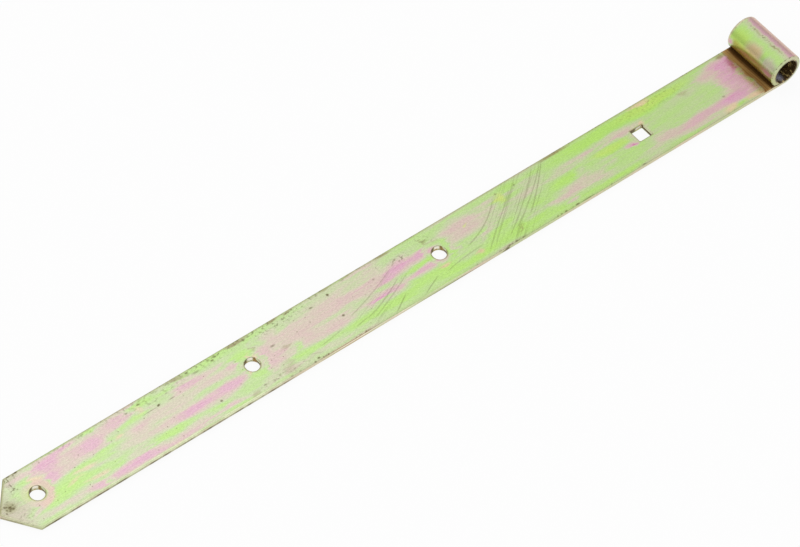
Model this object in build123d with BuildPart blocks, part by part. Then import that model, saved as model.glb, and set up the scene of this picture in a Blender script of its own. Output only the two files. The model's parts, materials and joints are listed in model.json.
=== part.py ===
from build123d import *
from math import cos, radians, sin
import os

os.makedirs("parts", exist_ok=True)

# Strap of a hook-and-band gate hinge, rolled from one flat steel bar.
# The pin axis is Y through the origin, the strap runs towards -X, and it lies flat with +Z up.

# Driving sizes in millimetres, angles in degrees
overall_length = 500.0  # from the tip of the point to the outside of the eye
strap_width = 35.0
strap_thickness = 3.0
edge_radius = 0.6  # rounding along the long edges of the bar
point_length = 13.4  # from the tip of the point to its shoulders
point_radius = 0.5  # rounding of the sheared edges of the point

pin_diameter = 13.0
pin_clearance = 0.8  # spare room of the pin in the eye, on the diameter
eye_wrap = 305.0  # how far the bar is rolled round before its straight tail
tail_gap = 0.2  # slit between the cut end of the bar and the strap below it
bore_flare = 0.6  # how far rolling squeezes the inner edge out past each side
outer_draw_in = 0.1  # how far rolling draws the outer edge in from each side
flare_run = 8.0  # length of strap over which its section changes to that of the eye

screw_hole_diameter = 7.6
screw_hole_rim = 0.8  # rolled-over rim on the punched side
tip_hole_setback = 22.5  # from the tip of the point
middle_hole_distance = 336.5  # from the pin axis
inner_hole_distance = 217.5  # from the pin axis

bolt_diameter = 8.0  # round-headed bolt with a square neck
bolt_clearance = 0.3
bolt_hole_distance = 83.5  # from the pin axis
bolt_hole_corner = 0.6
bolt_hole_rim = 0.5

# Sizes that follow from the driving ones
bore_radius = (pin_diameter + pin_clearance) / 2
eye_radius = bore_radius + strap_thickness
underside = -eye_radius
top_face = -bore_radius
tip_x = eye_radius - overall_length
half_width = strap_width / 2
bolt_hole_side = bolt_diameter + bolt_clearance
screw_hole_places = (
    (tip_x + tip_hole_setback, 0, top_face),
    (-middle_hole_distance, 0, top_face),
    (-inner_hole_distance, 0, top_face),
)


def bar_section(plane, outer_half_width, inner_half_width):
    """Section across the bar, with the outside of the roll below and its inside above."""
    with BuildSketch(plane) as section:
        with BuildLine():
            Polyline(
                (-outer_half_width, underside),
                (outer_half_width, underside),
                (inner_half_width, top_face),
                (-inner_half_width, top_face),
                close=True,
            )
        make_face()
        fillet(section.vertices(), edge_radius)
    return section.sketch


def eye_section(plane):
    """Section of the rolled bar, wider at the bore than outside."""
    return bar_section(plane, half_width - outer_draw_in, half_width + bore_flare)


flat_start = bar_section(Plane.YZ.offset(tip_x), half_width, half_width)
flat_end = bar_section(Plane.YZ.offset(-flare_run), half_width, half_width)
roll_start = eye_section(Plane.YZ)

# The plane across the bar where the roll ends, facing the way that the bar runs there
tail_direction = (cos(radians(eye_wrap)), 0, sin(radians(eye_wrap)))
tail_plane = Plane(origin=(0, 0, 0), x_dir=(0, 1, 0), z_dir=tail_direction)

# Straight tail of the bar, cut off flush above the strap
with BuildPart() as eye_tail:
    extrude(eye_section(tail_plane), amount=2 * bore_radius)
    split(bisect_by=Plane.XY.offset(top_face + tail_gap), keep=Keep.TOP)

with BuildPart() as hinge_strap:
    # Flat bar, its change of section, and the eye rolled round the pin
    extrude(flat_start, amount=-tip_x - flare_run)
    loft([flat_end, roll_start])
    revolve(roll_start, axis=Axis((0, 0, 0), (0, -1, 0)), revolution_arc=eye_wrap)
    add(eye_tail.part)

    # Point, sheared off at both sides
    with BuildSketch(Plane.XY.offset(underside)) as point_waste:
        with BuildLine():
            Polyline(
                (tip_x, 0),
                (tip_x + point_length, half_width),
                (tip_x, half_width),
                close=True,
            )
        make_face()
        mirror(about=Plane.XZ)
    extrude(amount=strap_thickness, mode=Mode.SUBTRACT)
    point_corners = hinge_strap.edges().filter_by(Axis.Z).group_by(Axis.X)
    fillet(point_corners[0] + point_corners[1], point_radius)

    # Round holes for the screws, punched from above
    with Locations(*screw_hole_places):
        Hole(radius=screw_hole_diameter / 2, depth=strap_thickness)
    screw_rims = hinge_strap.edges(Select.LAST).filter_by(GeomType.CIRCLE)
    fillet(screw_rims.group_by(Axis.Z)[-1], screw_hole_rim)

    # Square hole for the neck of the bolt
    with BuildSketch(Plane.XY.offset(underside)):
        with Locations((-bolt_hole_distance, 0)):
            RectangleRounded(bolt_hole_side, bolt_hole_side, bolt_hole_corner)
    extrude(amount=strap_thickness, mode=Mode.SUBTRACT)
    bolt_rim = hinge_strap.edges(Select.LAST).group_by(Axis.Z)[-1]
    fillet(bolt_rim, bolt_hole_rim)

hinge_strap.part.label = "hinge_strap"
export_step(hinge_strap.part, "parts/hinge_strap.step")
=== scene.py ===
"""Looks of a gate hinge strap: one yellow-plated steel bar with a sheared point and a rolled eye."""

import json
import logging
import math
from collections.abc import Callable, Iterator
from contextlib import contextmanager
from dataclasses import dataclass, field
from enum import Enum
from functools import partial, reduce
from typing import Any

import bmesh
import bpy
from mathutils import Matrix, Vector

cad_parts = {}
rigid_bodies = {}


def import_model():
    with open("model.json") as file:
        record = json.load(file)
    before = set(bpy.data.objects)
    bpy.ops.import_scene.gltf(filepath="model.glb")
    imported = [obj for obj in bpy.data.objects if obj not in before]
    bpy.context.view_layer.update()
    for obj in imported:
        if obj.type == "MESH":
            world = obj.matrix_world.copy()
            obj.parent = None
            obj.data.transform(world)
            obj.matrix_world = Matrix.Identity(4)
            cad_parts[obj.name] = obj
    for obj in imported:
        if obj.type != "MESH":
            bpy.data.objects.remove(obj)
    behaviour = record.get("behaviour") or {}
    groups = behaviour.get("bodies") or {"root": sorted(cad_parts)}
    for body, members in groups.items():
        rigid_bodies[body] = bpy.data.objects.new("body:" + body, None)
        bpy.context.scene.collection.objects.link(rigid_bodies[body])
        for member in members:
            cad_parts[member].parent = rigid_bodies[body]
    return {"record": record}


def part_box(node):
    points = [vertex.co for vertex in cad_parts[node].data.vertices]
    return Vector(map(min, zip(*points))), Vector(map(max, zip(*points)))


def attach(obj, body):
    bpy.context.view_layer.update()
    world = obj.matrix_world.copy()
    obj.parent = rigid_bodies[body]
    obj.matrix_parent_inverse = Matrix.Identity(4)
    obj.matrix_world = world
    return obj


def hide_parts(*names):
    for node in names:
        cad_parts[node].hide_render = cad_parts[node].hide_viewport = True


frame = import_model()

NODE = "hinge_strap"
BODY = "root"
SLOT = "yellow_zinc"
MM = 0.001
TIP_HOLE = "tip_screw_hole"
INNER_HOLES = ("middle_screw_hole", "inner_screw_hole")
SCREW_HOLES = (TIP_HOLE, *INNER_HOLES)
SQUARE_HOLE = "square_bolt_hole"
HOLES = (*SCREW_HOLES, SQUARE_HOLE)

# How squarely a face must point along an axis to count as facing it, as a cosine
FACING = 0.9

# The fold that counts as an edge, in degrees, and the bevel profile that is round
SHARP = 30.0
ROUND = 0.5

# Lengths within which two places count as one: when picking, when merging and when cutting
NEAR = 0.01 * MM
MERGE = 0.001 * MM
CUT = 0.0001 * MM

Colour = tuple[float, float, float]
Socket = bpy.types.NodeSocket
Value = float | tuple[float, ...] | Socket

ORIGIN = (0.0, 0.0, 0.0)
UPWARD = (0.0, 0.0, 1.0)
WHITE: Colour = (1.0, 1.0, 1.0)

log = logging.getLogger("gate_hinge")


def linear(red: int, green: int, blue: int) -> Colour:
    """Turns a colour as seen on a screen into the linear colour that a shader takes.

    Args:
        red: Red from 0 to 255.
        green: Green from 0 to 255.
        blue: Blue from 0 to 255.

    Returns:
        The linear colour, each channel from 0 to 1.
    """
    seen = (channel / 255 for channel in (red, green, blue))
    return tuple(c / 12.92 if c <= 0.04045 else ((c + 0.055) / 1.055) ** 2.4 for c in seen)


class Tone(Enum):
    """Interference tones of the chromate film, by its place on the film scale from thin to thick."""

    LIME = 0.0
    GREEN = 0.2
    SAGE = 0.4
    BEIGE = 0.6
    MAUVE = 0.75
    PINK = 0.9
    MAGENTA = 1.0


TONE_COLOURS: dict[Tone, Colour] = {
    Tone.LIME: linear(176, 218, 108),
    Tone.GREEN: linear(180, 212, 132),
    Tone.SAGE: linear(188, 204, 152),
    Tone.BEIGE: linear(203, 194, 170),
    Tone.MAUVE: linear(208, 180, 174),
    Tone.PINK: linear(212, 164, 184),
    Tone.MAGENTA: linear(203, 134, 164),
}


class Hue(Enum):
    """Colours of thin spots, wear and dirt on the film, and of the highlights, reflections and shade
    painted into it.
    """

    PEACH = linear(226, 194, 166)
    SALMON = linear(222, 184, 156)
    YELLOW = linear(200, 216, 110)
    OLIVE = linear(166, 164, 118)
    TAN = linear(198, 202, 156)
    ROSE = linear(218, 198, 174)
    # Also painted highlights on the rims of the square hole
    CREAM = linear(200, 205, 165)
    GREY = linear(176, 170, 140)
    SAND = linear(206, 178, 122)
    GOLD = linear(202, 178, 112)
    BRONZE = linear(134, 90, 36)
    # The crevice band's brown, and also painted shade on the walls of the holes
    OCHRE = linear(180, 142, 80)
    # Painted shade in the crevice and deep in the holes
    SHADE = linear(94, 62, 14)
    # Brown stains, and also painted shade on the lips and walls of the holes
    BROWN = linear(142, 124, 78)
    DARK = linear(104, 92, 56)
    SLATE = linear(185, 186, 206)
    # Painted shade low on the eye, where it meets the strap
    SOOT = linear(96, 70, 28)
    # Painted shade on the lips and left ends of the hole walls and inside the eye
    UMBER = linear(92, 72, 42)
    # Painted highlight on rounded rims and on the square hole's end
    PALE = linear(234, 240, 200)
    BLUSH = linear(212, 181, 166)
    # Painted reflection of the strap low on the eye
    MOSS = linear(176, 166, 78)
    RUST = linear(196, 128, 104)
    # Painted highlight
    GLINT = linear(255, 250, 232)


@dataclass(frozen=True)
class Span:
    """A smooth change from low at start to high at end, held level outside them."""

    start: float
    end: float
    low: float = 0.0
    high: float = 1.0

    def moved(self, by: float) -> "Span":
        """Gives the span with its start and end moved."""
        return Span(self.start + by, self.end + by, self.low, self.high)


@dataclass(frozen=True)
class Grain:
    """The length of a noise's grain along the bar and across it, in millimetres, and its detail."""

    along: float
    across: float
    detail: float = 2.0


@dataclass(frozen=True)
class Ring:
    """A soft ring round a hole, in millimetres from the hole's middle."""

    inner: float
    outer: float
    strength: float


class NodeWeb:
    """Short calls that add the nodes of one node tree and join them."""

    LENGTHS = ("LENGTH", "DISTANCE", "DOT_PRODUCT")

    def __init__(self, tree: bpy.types.NodeTree) -> None:
        """Starts from an emptied node tree."""
        self.tree = tree
        tree.nodes.clear()

    def add(
        self, kind: str, inputs: dict[str | int, Value] | None = None, **settings: Any
    ) -> bpy.types.Node:
        """Adds a node.

        Args:
            kind: The node's type.
            inputs: What each input takes, a constant or another node's socket.
            **settings: The node's own properties.

        Returns:
            The new node.
        """
        node = self.tree.nodes.new(kind)
        for name, setting in settings.items():
            setattr(node, name, setting)
        for name, value in (inputs or {}).items():
            if isinstance(value, Socket):
                self.tree.links.new(value, node.inputs[name])
            else:
                node.inputs[name].default_value = value
        return node

    def math(self, operation: str, first: Value, second: Value = 0.0) -> Socket:
        """Joins one or two numbers by a math operation and returns the result."""
        return self.add("ShaderNodeMath", {0: first, 1: second}, operation=operation).outputs[0]

    def times(self, *factors: Value) -> Socket:
        """Multiplies numbers and returns the product."""
        return reduce(partial(self.math, "MULTIPLY"), factors)

    def plus(self, *terms: Value) -> Socket:
        """Adds numbers up and returns the sum."""
        return reduce(partial(self.math, "ADD"), terms)

    def most(self, *values: Value) -> Socket:
        """Returns the largest of some numbers."""
        return reduce(partial(self.math, "MAXIMUM"), values)

    def without(self, mask: Value) -> Socket:
        """Returns the rest of a mask, 1 where it is 0."""
        return self.math("SUBTRACT", 1.0, mask)

    def vector(self, operation: str, first: Value, second: Value = ORIGIN, third: Value = ORIGIN) -> Socket:
        """Joins up to three vectors by a vector operation.

        Args:
            operation: The operation's name.
            first: The first vector.
            second: The second vector, where the operation takes one.
            third: The third vector, where the operation takes one.

        Returns:
            The resulting vector, or a number where the operation measures.
        """
        inputs = {0: first, 1: second, 2: third}
        node = self.add("ShaderNodeVectorMath", inputs, operation=operation)
        return node.outputs["Value" if operation in self.LENGTHS else "Vector"]

    def scaled(self, vector: Value, scale: Value) -> Socket:
        """Scales a vector by a number and returns the result."""
        inputs = {"Vector": vector, "Scale": scale}
        return self.add("ShaderNodeVectorMath", inputs, operation="SCALE").outputs["Vector"]

    def axes(self, vector: Value) -> tuple[Socket, ...]:
        """Splits a vector into its three numbers."""
        return tuple(self.add("ShaderNodeSeparateXYZ", {0: vector}).outputs)

    def joined(self, x: Value = 0.0, y: Value = 0.0, z: Value = 0.0) -> Socket:
        """Joins three numbers into a vector."""
        return self.add("ShaderNodeCombineXYZ", {"X": x, "Y": y, "Z": z}).outputs[0]

    def between(self, value: Value, span: Span) -> Socket:
        """Maps a number smoothly by a span.

        Args:
            value: The number to map.
            span: Where the change starts and ends, and from what to what it goes.

        Returns:
            The mapped number.
        """
        inputs = {
            "Value": value,
            "From Min": span.start,
            "From Max": span.end,
            "To Min": span.low,
            "To Max": span.high,
        }
        node = self.add("ShaderNodeMapRange", inputs, interpolation_type="SMOOTHSTEP", clamp=False)
        return node.outputs["Result"]

    def mix(self, factor: Value, first: Value, second: Value) -> Socket:
        """Mixes two numbers and returns the result."""
        return self.add("ShaderNodeMix", {0: factor, 2: first, 3: second}, data_type="FLOAT").outputs[0]

    def blend(self, factor: Value, first: Value, second: Value, way: str = "MIX") -> Socket:
        """Blends two colours.

        Args:
            factor: How much of the second colour there is.
            first: The first colour.
            second: The second colour.
            way: The way of blending.

        Returns:
            The blended colour.
        """
        opaque = [(*colour, 1.0) if isinstance(colour, tuple) else colour for colour in (first, second)]
        inputs = {0: factor, 6: opaque[0], 7: opaque[1]}
        return self.add("ShaderNodeMix", inputs, data_type="RGBA", blend_type=way).outputs[2]

    def placed(self, place: Value, centre: Value, size: Value, turn: float = 0.0) -> Socket:
        """Measures a place from a centre, in sizes, along turned axes.

        Args:
            place: The place to measure.
            centre: The point to measure from.
            size: The length that counts as one, along each axis.
            turn: The turn of the axes about the third one, in degrees.

        Returns:
            The measured vector.
        """
        turned = (0.0, 0.0, math.radians(turn))
        inputs = {"Vector": place, "Location": centre, "Rotation": turned, "Scale": size}
        return self.add("ShaderNodeMapping", inputs, vector_type="TEXTURE").outputs[0]

    def noise(self, place: Socket, grain: Grain) -> bpy.types.Node:
        """Adds noise of a grain and returns its node."""
        scaled = self.placed(place, ORIGIN, (grain.along, grain.across, 1.0))
        return self.add("ShaderNodeTexNoise", {"Vector": scaled, "Scale": 1.0, "Detail": grain.detail})

    def ramp(self, value: Socket, stops: dict[float, Colour]) -> Socket:
        """Turns a number into a colour.

        Args:
            value: The number.
            stops: The colours along the ramp, by their place on it.

        Returns:
            The colour.
        """
        node = self.add("ShaderNodeValToRGB", {"Fac": value})
        elements = node.color_ramp.elements
        elements[0].position, elements[1].position = min(stops), max(stops)
        for position in sorted(stops)[1:-1]:
            elements.new(position)
        for element, position in zip(elements, sorted(stops)):
            element.color = (*stops[position], 1.0)
        return node.outputs["Color"]


@dataclass(frozen=True)
class FilmPatch:
    """A patch of one film tone, an oval with a soft rim, in millimetres on the unrolled bar."""

    x: float
    y: float
    length: float
    width: float
    tone: Tone
    strength: float = 1.0
    turn: float = 0.0


@dataclass(frozen=True)
class Stain:
    """A stain of one colour, an oval with a soft rim, in millimetres on the unrolled bar."""

    x: float
    y: float
    length: float
    width: float
    hue: Hue
    strength: float = 0.8
    turn: float = 0.0


@dataclass(frozen=True)
class Mark:
    """A pit or an area of dirt or scoring, an oval with a soft rim, in millimetres on the unrolled bar."""

    x: float
    y: float
    length: float
    width: float
    strength: float
    turn: float = 0.0


@dataclass(frozen=True)
class Scratch:
    """A scratch along the arc through three points of the top face, in millimetres."""

    start: tuple[float, float]
    middle: tuple[float, float]
    end: tuple[float, float]
    strength: float = 0.3
    width: float = 0.6

    def circle(self) -> tuple[float, float, float]:
        """Finds the circle through the three points.

        Returns:
            The centre's two coordinates and the radius.
        """
        (ax, ay), (bx, by), (cx, cy) = self.start, self.middle, self.end
        d = 2 * (ax * (by - cy) + bx * (cy - ay) + cx * (ay - by))
        a2, b2, c2 = ax * ax + ay * ay, bx * bx + by * by, cx * cx + cy * cy
        x = (a2 * (by - cy) + b2 * (cy - ay) + c2 * (ay - by)) / d
        y = (a2 * (cx - bx) + b2 * (ax - cx) + c2 * (bx - ax)) / d
        return x, y, math.hypot(ax - x, ay - y)


# Directions across the holes: towards the eye, and towards the eye and the near edge
ONWARD = (1.0, 0.0, 0.0)
ASLANT = (0.753, -0.658, 0.0)

# Where the unrolled eye lies on the map of the bar's surface, in millimetres, with the underside past it
EYE_START = 100.0

# Patches of the film, from the tip to the eye, each laid over the ones before it
TIP_PATCHES = (
    FilmPatch(-484, -5, 17, 28, Tone.BEIGE),
    FilmPatch(-480, 9, 12, 20, Tone.SAGE, 0.9),
    FilmPatch(-469, 13.5, 9, 4, Tone.MAUVE, 0.8),
    FilmPatch(-467, 9, 13, 5, Tone.LIME, 0.5),
    FilmPatch(-470, -7.5, 18, 5, Tone.MAUVE, 0.8),
    FilmPatch(-444, 8, 26, 14, Tone.MAUVE, 0.8),
    FilmPatch(-455, 12, 18, 8, Tone.PINK),
    FilmPatch(-444, 15.2, 16, 3, Tone.PINK, 0.9, turn=5),
    FilmPatch(-455, 4, 12, 10, Tone.PINK, 0.9),
    FilmPatch(-445, 3.2, 14, 5, Tone.MAUVE, 0.8),
    FilmPatch(-430, 9, 22, 12, Tone.PINK, 0.9),
    FilmPatch(-412, 12.3, 24, 7, Tone.PINK, 0.85),
    FilmPatch(-427, 15.6, 10, 2.6, Tone.LIME, 0.9),
    FilmPatch(-436, 0.2, 34, 4, Tone.LIME, 0.75, turn=4),
    FilmPatch(-415, 6.2, 24, 4.4, Tone.LIME, 0.6, turn=9),
    FilmPatch(-452, -5.5, 28, 10, Tone.LIME, 0.95),
    FilmPatch(-426, -2.3, 16, 4, Tone.LIME, 0.7),
    FilmPatch(-428, -9.2, 16, 4, Tone.LIME, 0.7),
    FilmPatch(-416, -5.5, 14, 4, Tone.SAGE, 0.7),
    FilmPatch(-408, -1, 18, 8, Tone.BEIGE, 0.9),
    FilmPatch(-411, -8.5, 18, 4, Tone.MAUVE, 0.6),
    FilmPatch(-425, -4.4, 12, 3, Tone.MAUVE, 0.4),
    FilmPatch(-429, -13.4, 12, 4, Tone.PINK, 0.7),
    FilmPatch(-458, -15.4, 12, 3, Tone.MAUVE, 0.6),
    FilmPatch(-459.5, 1.3, 3, 7, Tone.GREEN, 0.7),
    FilmPatch(-404.5, 5, 14, 3, Tone.SAGE, 0.6),
    FilmPatch(-464, -13.5, 26, 4, Tone.BEIGE, 0.9),
    FilmPatch(-439, -14.4, 16, 4.4, Tone.PINK, 0.8),
    FilmPatch(-414, -14.2, 30, 6, Tone.PINK),
    FilmPatch(-468, -16.4, 26, 3, Tone.GREEN, 0.8),
    FilmPatch(-437, -11.3, 12, 2.4, Tone.GREEN, 0.7),
    FilmPatch(-416, 7.2, 12, 3, Tone.BEIGE, 0.6),
    FilmPatch(-431, 3, 14, 3, Tone.MAUVE, 0.6, turn=12),
    FilmPatch(-449, 0.8, 12, 2.6, Tone.BEIGE, 0.6),
    FilmPatch(-424, -15.6, 16, 2.4, Tone.PINK, 0.5),
    FilmPatch(-473, -6, 10, 5, Tone.MAUVE, 0.5),
    FilmPatch(-466, 9.3, 6, 3, Tone.LIME, 0.5),
    FilmPatch(-434, -14.2, 5, 3, Tone.GREEN, 0.8),
    FilmPatch(-404, 5, 12, 3, Tone.GREEN, 0.5),
    FilmPatch(-475, 3.5, 9, 9, Tone.LIME, 0.5),
    FilmPatch(-477, -7.5, 7, 5, Tone.LIME, 0.5),
    FilmPatch(-462, -10.2, 16, 3.2, Tone.LIME, 0.7),
    FilmPatch(-454, 12.8, 15, 6, Tone.PINK, 0.7),
    FilmPatch(-428, 8, 12, 7, Tone.PINK, 0.5),
    FilmPatch(-420, -13.4, 26, 3.6, Tone.PINK, 0.5),
)
TIP_TO_MIDDLE_PATCHES = (
    FilmPatch(-394, 14.3, 16, 5, Tone.LIME, 0.8),
    FilmPatch(-401, 8, 14, 3.4, Tone.LIME, 0.8),
    FilmPatch(-354, 15.4, 40, 4.4, Tone.LIME, 0.75),
    FilmPatch(-386, 2.6, 54, 9, Tone.MAUVE, 0.7),
    FilmPatch(-404, 2.6, 12, 4, Tone.PINK, 0.4),
    FilmPatch(-368, 9.2, 32, 6, Tone.MAUVE),
    FilmPatch(-369, 9.5, 14, 4, Tone.PINK, 0.5),
    FilmPatch(-357, 4.8, 28, 4, Tone.MAUVE, 0.8),
    FilmPatch(-390, -4, 24, 5, Tone.MAUVE, 0.85),
    FilmPatch(-374, -4.6, 22, 6, Tone.PINK),
    FilmPatch(-355, -4.4, 28, 6, Tone.PINK, 0.95),
    FilmPatch(-362, 0.9, 24, 2.6, Tone.GREEN, 0.7),
    FilmPatch(-345, 5.8, 8, 4, Tone.PINK, 0.6),
    FilmPatch(-396, -9.4, 34, 4.4, Tone.LIME, 0.85),
    FilmPatch(-366, -11.3, 20, 4, Tone.LIME, 0.8),
    FilmPatch(-346, -10.4, 20, 5, Tone.GREEN, 0.8),
    FilmPatch(-388, -15.3, 54, 3.4, Tone.PINK, 0.8),
    FilmPatch(-360, -13.6, 12, 3, Tone.PINK, 0.6),
    FilmPatch(-358, -16.2, 18, 2.4, Tone.LIME, 0.7),
    FilmPatch(-384, -12, 40, 2.4, Tone.MAUVE, 0.45),
    FilmPatch(-386, 9.2, 14, 5, Tone.GREEN, 0.6),
    FilmPatch(-347, 13, 24, 4, Tone.GREEN, 0.5),
    FilmPatch(-353, 9.2, 14, 4, Tone.MAUVE, 0.6),
    FilmPatch(-365, -0.4, 20, 3, Tone.GREEN, 0.5),
    FilmPatch(-400, 16, 8, 2.4, Tone.PINK, 0.6),
    FilmPatch(-337, 9.4, 14, 8, Tone.LIME, 0.75),
    FilmPatch(-337, -6.4, 14, 5, Tone.LIME, 0.7),
    FilmPatch(-334, -14.5, 20, 4, Tone.BEIGE, 0.7),
    FilmPatch(-369, 13.3, 14, 3, Tone.MAUVE, 0.7),
    FilmPatch(-409, -10, 14, 3, Tone.MAUVE, 0.5),
    FilmPatch(-387, -13.3, 34, 2.4, Tone.MAUVE, 0.6),
    FilmPatch(-367, -15.4, 20, 2, Tone.GREEN, 0.6),
    FilmPatch(-334, -12, 16, 3, Tone.MAUVE, 0.5),
)
MIDDLE_PATCHES = (
    FilmPatch(-318, 15.4, 24, 4, Tone.LIME, 0.4),
    FilmPatch(-326, 10.8, 9, 5, Tone.GREEN, 0.9),
    FilmPatch(-326, 0, 11, 17, Tone.PINK, 0.7),
    FilmPatch(-297, 3, 64, 22, Tone.MAUVE, 0.8),
    FilmPatch(-312, 10.6, 7, 7, Tone.GREEN, 0.5),
    FilmPatch(-300, 15, 20, 3.4, Tone.GREEN, 0.7),
    FilmPatch(-303, -3, 12, 7, Tone.PINK, 0.4),
    FilmPatch(-288, -5.2, 24, 6, Tone.MAUVE, 0.9),
    FilmPatch(-266, 5, 44, 16, Tone.MAUVE, 0.85),
    FilmPatch(-278, 15, 20, 3, Tone.BEIGE, 0.5),
    FilmPatch(-250, 15.6, 26, 3, Tone.MAUVE, 0.4),
    FilmPatch(-322, -12, 12, 8, Tone.BEIGE),
    FilmPatch(-305, -10.2, 34, 4, Tone.LIME, 0.8),
    FilmPatch(-312, -5.4, 5, 6, Tone.LIME, 0.6),
    FilmPatch(-272, -11, 42, 6.6, Tone.LIME, 0.9),
    FilmPatch(-250, -11.2, 24, 5.6, Tone.LIME),
    FilmPatch(-270, -1.6, 16, 2.6, Tone.GREEN, 0.5),
    FilmPatch(-254, 0.2, 12, 2.4, Tone.GREEN, 0.7),
    FilmPatch(-258, -4.4, 22, 3.6, Tone.PINK, turn=6),
    FilmPatch(-247, 4.6, 22, 5.4, Tone.PINK, 0.85, turn=14),
    FilmPatch(-295, -14.6, 40, 2.6, Tone.BEIGE, 0.7),
    FilmPatch(-303, -12.8, 34, 2.4, Tone.BEIGE, 0.6),
    FilmPatch(-330.5, -7.7, 6, 5, Tone.MAUVE, 0.6),
    FilmPatch(-303, 10.5, 16, 4, Tone.GREEN, 0.5),
    FilmPatch(-266, 9, 18, 4, Tone.GREEN, 0.5),
    FilmPatch(-280, 0.3, 34, 3, Tone.GREEN, 0.5),
    FilmPatch(-253, 11.7, 16, 4, Tone.MAUVE, 0.5),
    FilmPatch(-252, -7.6, 16, 3, Tone.MAUVE, 0.5),
    FilmPatch(-324, 9.2, 7, 4, Tone.GREEN, 0.6),
    FilmPatch(-320, -1.7, 7, 4, Tone.PINK, 0.6),
    FilmPatch(-261, 15.8, 18, 2.6, Tone.MAUVE, 0.6),
    FilmPatch(-257, -5.9, 18, 2, Tone.LIME, 0.6),
    FilmPatch(-305, -15.4, 18, 3, Tone.GREEN, 0.6),
    FilmPatch(-276, -15, 20, 2.6, Tone.GREEN, 0.5),
)
INNER_PATCHES = (
    FilmPatch(-224, 13.8, 42, 5.4, Tone.GREEN, 0.85),
    FilmPatch(-238, 9.6, 16, 5, Tone.MAUVE, 0.4),
    FilmPatch(-238, 5.6, 20, 6.4, Tone.PINK),
    FilmPatch(-225, 5.2, 16, 5.4, Tone.PINK),
    FilmPatch(-230, -0.5, 24, 2.6, Tone.LIME, 0.85),
    FilmPatch(-229, -3.8, 26, 3.8, Tone.PINK, 0.9),
    FilmPatch(-247, -5, 12, 5, Tone.PINK, 0.8),
    FilmPatch(-230, -9.6, 40, 7, Tone.LIME, 0.85),
    FilmPatch(-212, 2, 6, 14, Tone.LIME, 0.8, turn=8),
    FilmPatch(-197, 7, 32, 13, Tone.MAUVE, 0.85),
    FilmPatch(-203, 1.4, 20, 5, Tone.MAUVE, 0.5),
    FilmPatch(-180, 10.8, 12, 5, Tone.MAUVE, 0.8, turn=12),
    FilmPatch(-186, -1, 16, 4, Tone.MAUVE, 0.7, turn=35),
    FilmPatch(-177, 5, 9, 4, Tone.MAUVE, 0.8, turn=40),
    FilmPatch(-207, -12.6, 54, 8, Tone.LIME),
    FilmPatch(-181, -6, 22, 5, Tone.LIME, 0.9, turn=18),
    FilmPatch(-168, -0.5, 14, 6, Tone.SAGE, 0.7, turn=35),
    FilmPatch(-168, -11.5, 40, 10, Tone.LIME, 0.95),
    FilmPatch(-178, 15, 50, 4, Tone.GREEN, 0.9),
    FilmPatch(-162, 13, 16, 6, Tone.LIME, 0.8),
    FilmPatch(-205, -10, 16, 4, Tone.BEIGE, 0.5),
    FilmPatch(-196, -4, 14, 3, Tone.BEIGE, 0.5),
    FilmPatch(-223, 5.6, 6, 4.4, Tone.PINK, 0.9),
    FilmPatch(-222, -3.8, 5, 2.6, Tone.PINK, 0.8),
    FilmPatch(-208, -2, 5, 5, Tone.MAUVE, 0.6),
    FilmPatch(-214.3, -5, 6, 2.4, Tone.LIME, 0.7),
    FilmPatch(-180, 2.5, 18, 5, Tone.GREEN, 0.5, turn=25),
    FilmPatch(-182, 10, 10, 4, Tone.GREEN, 0.5),
    FilmPatch(-172, 7.4, 8, 5, Tone.LIME, 0.5),
    FilmPatch(-203, 16.4, 28, 2, Tone.MAUVE, 0.6),
    FilmPatch(-163, -9, 14, 4, Tone.MAUVE, 0.5),
)
SQUARE_PATCHES = (
    FilmPatch(-151, 6.6, 24, 6, Tone.BEIGE, 0.6, turn=12),
    FilmPatch(-128, 7, 22, 4, Tone.BEIGE, 0.5),
    FilmPatch(-116, 6.4, 10, 3, Tone.MAUVE, 0.6),
    FilmPatch(-102, 12.6, 80, 9, Tone.LIME),
    FilmPatch(-94, 5.2, 28, 3.6, Tone.MAUVE, 0.9, turn=3),
    FilmPatch(-134, -1, 30, 6, Tone.LIME),
    FilmPatch(-104, 0.8, 26, 4.6, Tone.LIME),
    FilmPatch(-146, -9, 20, 4, Tone.MAUVE, 0.7),
    FilmPatch(-124, -7.6, 22, 11, Tone.MAUVE, 0.65),
    FilmPatch(-136, -8.6, 12, 5, Tone.PINK, 0.5),
    FilmPatch(-144, -14.3, 30, 4.4, Tone.LIME, 0.75),
    FilmPatch(-98, -9, 30, 9, Tone.GREEN, 0.9),
    FilmPatch(-108, -15.4, 40, 4, Tone.LIME, 0.9),
    FilmPatch(-93, -3.3, 7, 2.6, Tone.PINK, 0.7, turn=-10),
    FilmPatch(-91.4, -4, 4, 2.6, Tone.MAGENTA, 0.9, turn=-20),
    FilmPatch(-152, -5, 16, 4, Tone.LIME, 0.6),
    FilmPatch(-128, -12.4, 20, 3, Tone.LIME, 0.5),
    FilmPatch(-140, -14, 12, 3, Tone.BEIGE, 0.5),
    FilmPatch(-107, -6, 10, 4, Tone.BEIGE, 0.6),
    FilmPatch(-95, 7.4, 26, 3, Tone.MAUVE, 0.5),
    FilmPatch(-80, 15.8, 26, 2.4, Tone.BEIGE, 0.4),
    FilmPatch(-158, -3, 16, 5, Tone.LIME, 0.6),
    FilmPatch(-99, 2.5, 12, 5, Tone.LIME, 0.7),
    FilmPatch(-126, -0.6, 7, 4, Tone.MAUVE, 0.5),
    FilmPatch(-120, -4.6, 12, 4, Tone.GREEN, 0.6),
    FilmPatch(-84, -12, 14, 3, Tone.MAUVE, 0.5),
    FilmPatch(-139, -14, 10, 3, Tone.MAUVE, 0.6),
    FilmPatch(-104, -12.5, 16, 3, Tone.GREEN, 0.5),
)
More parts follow.
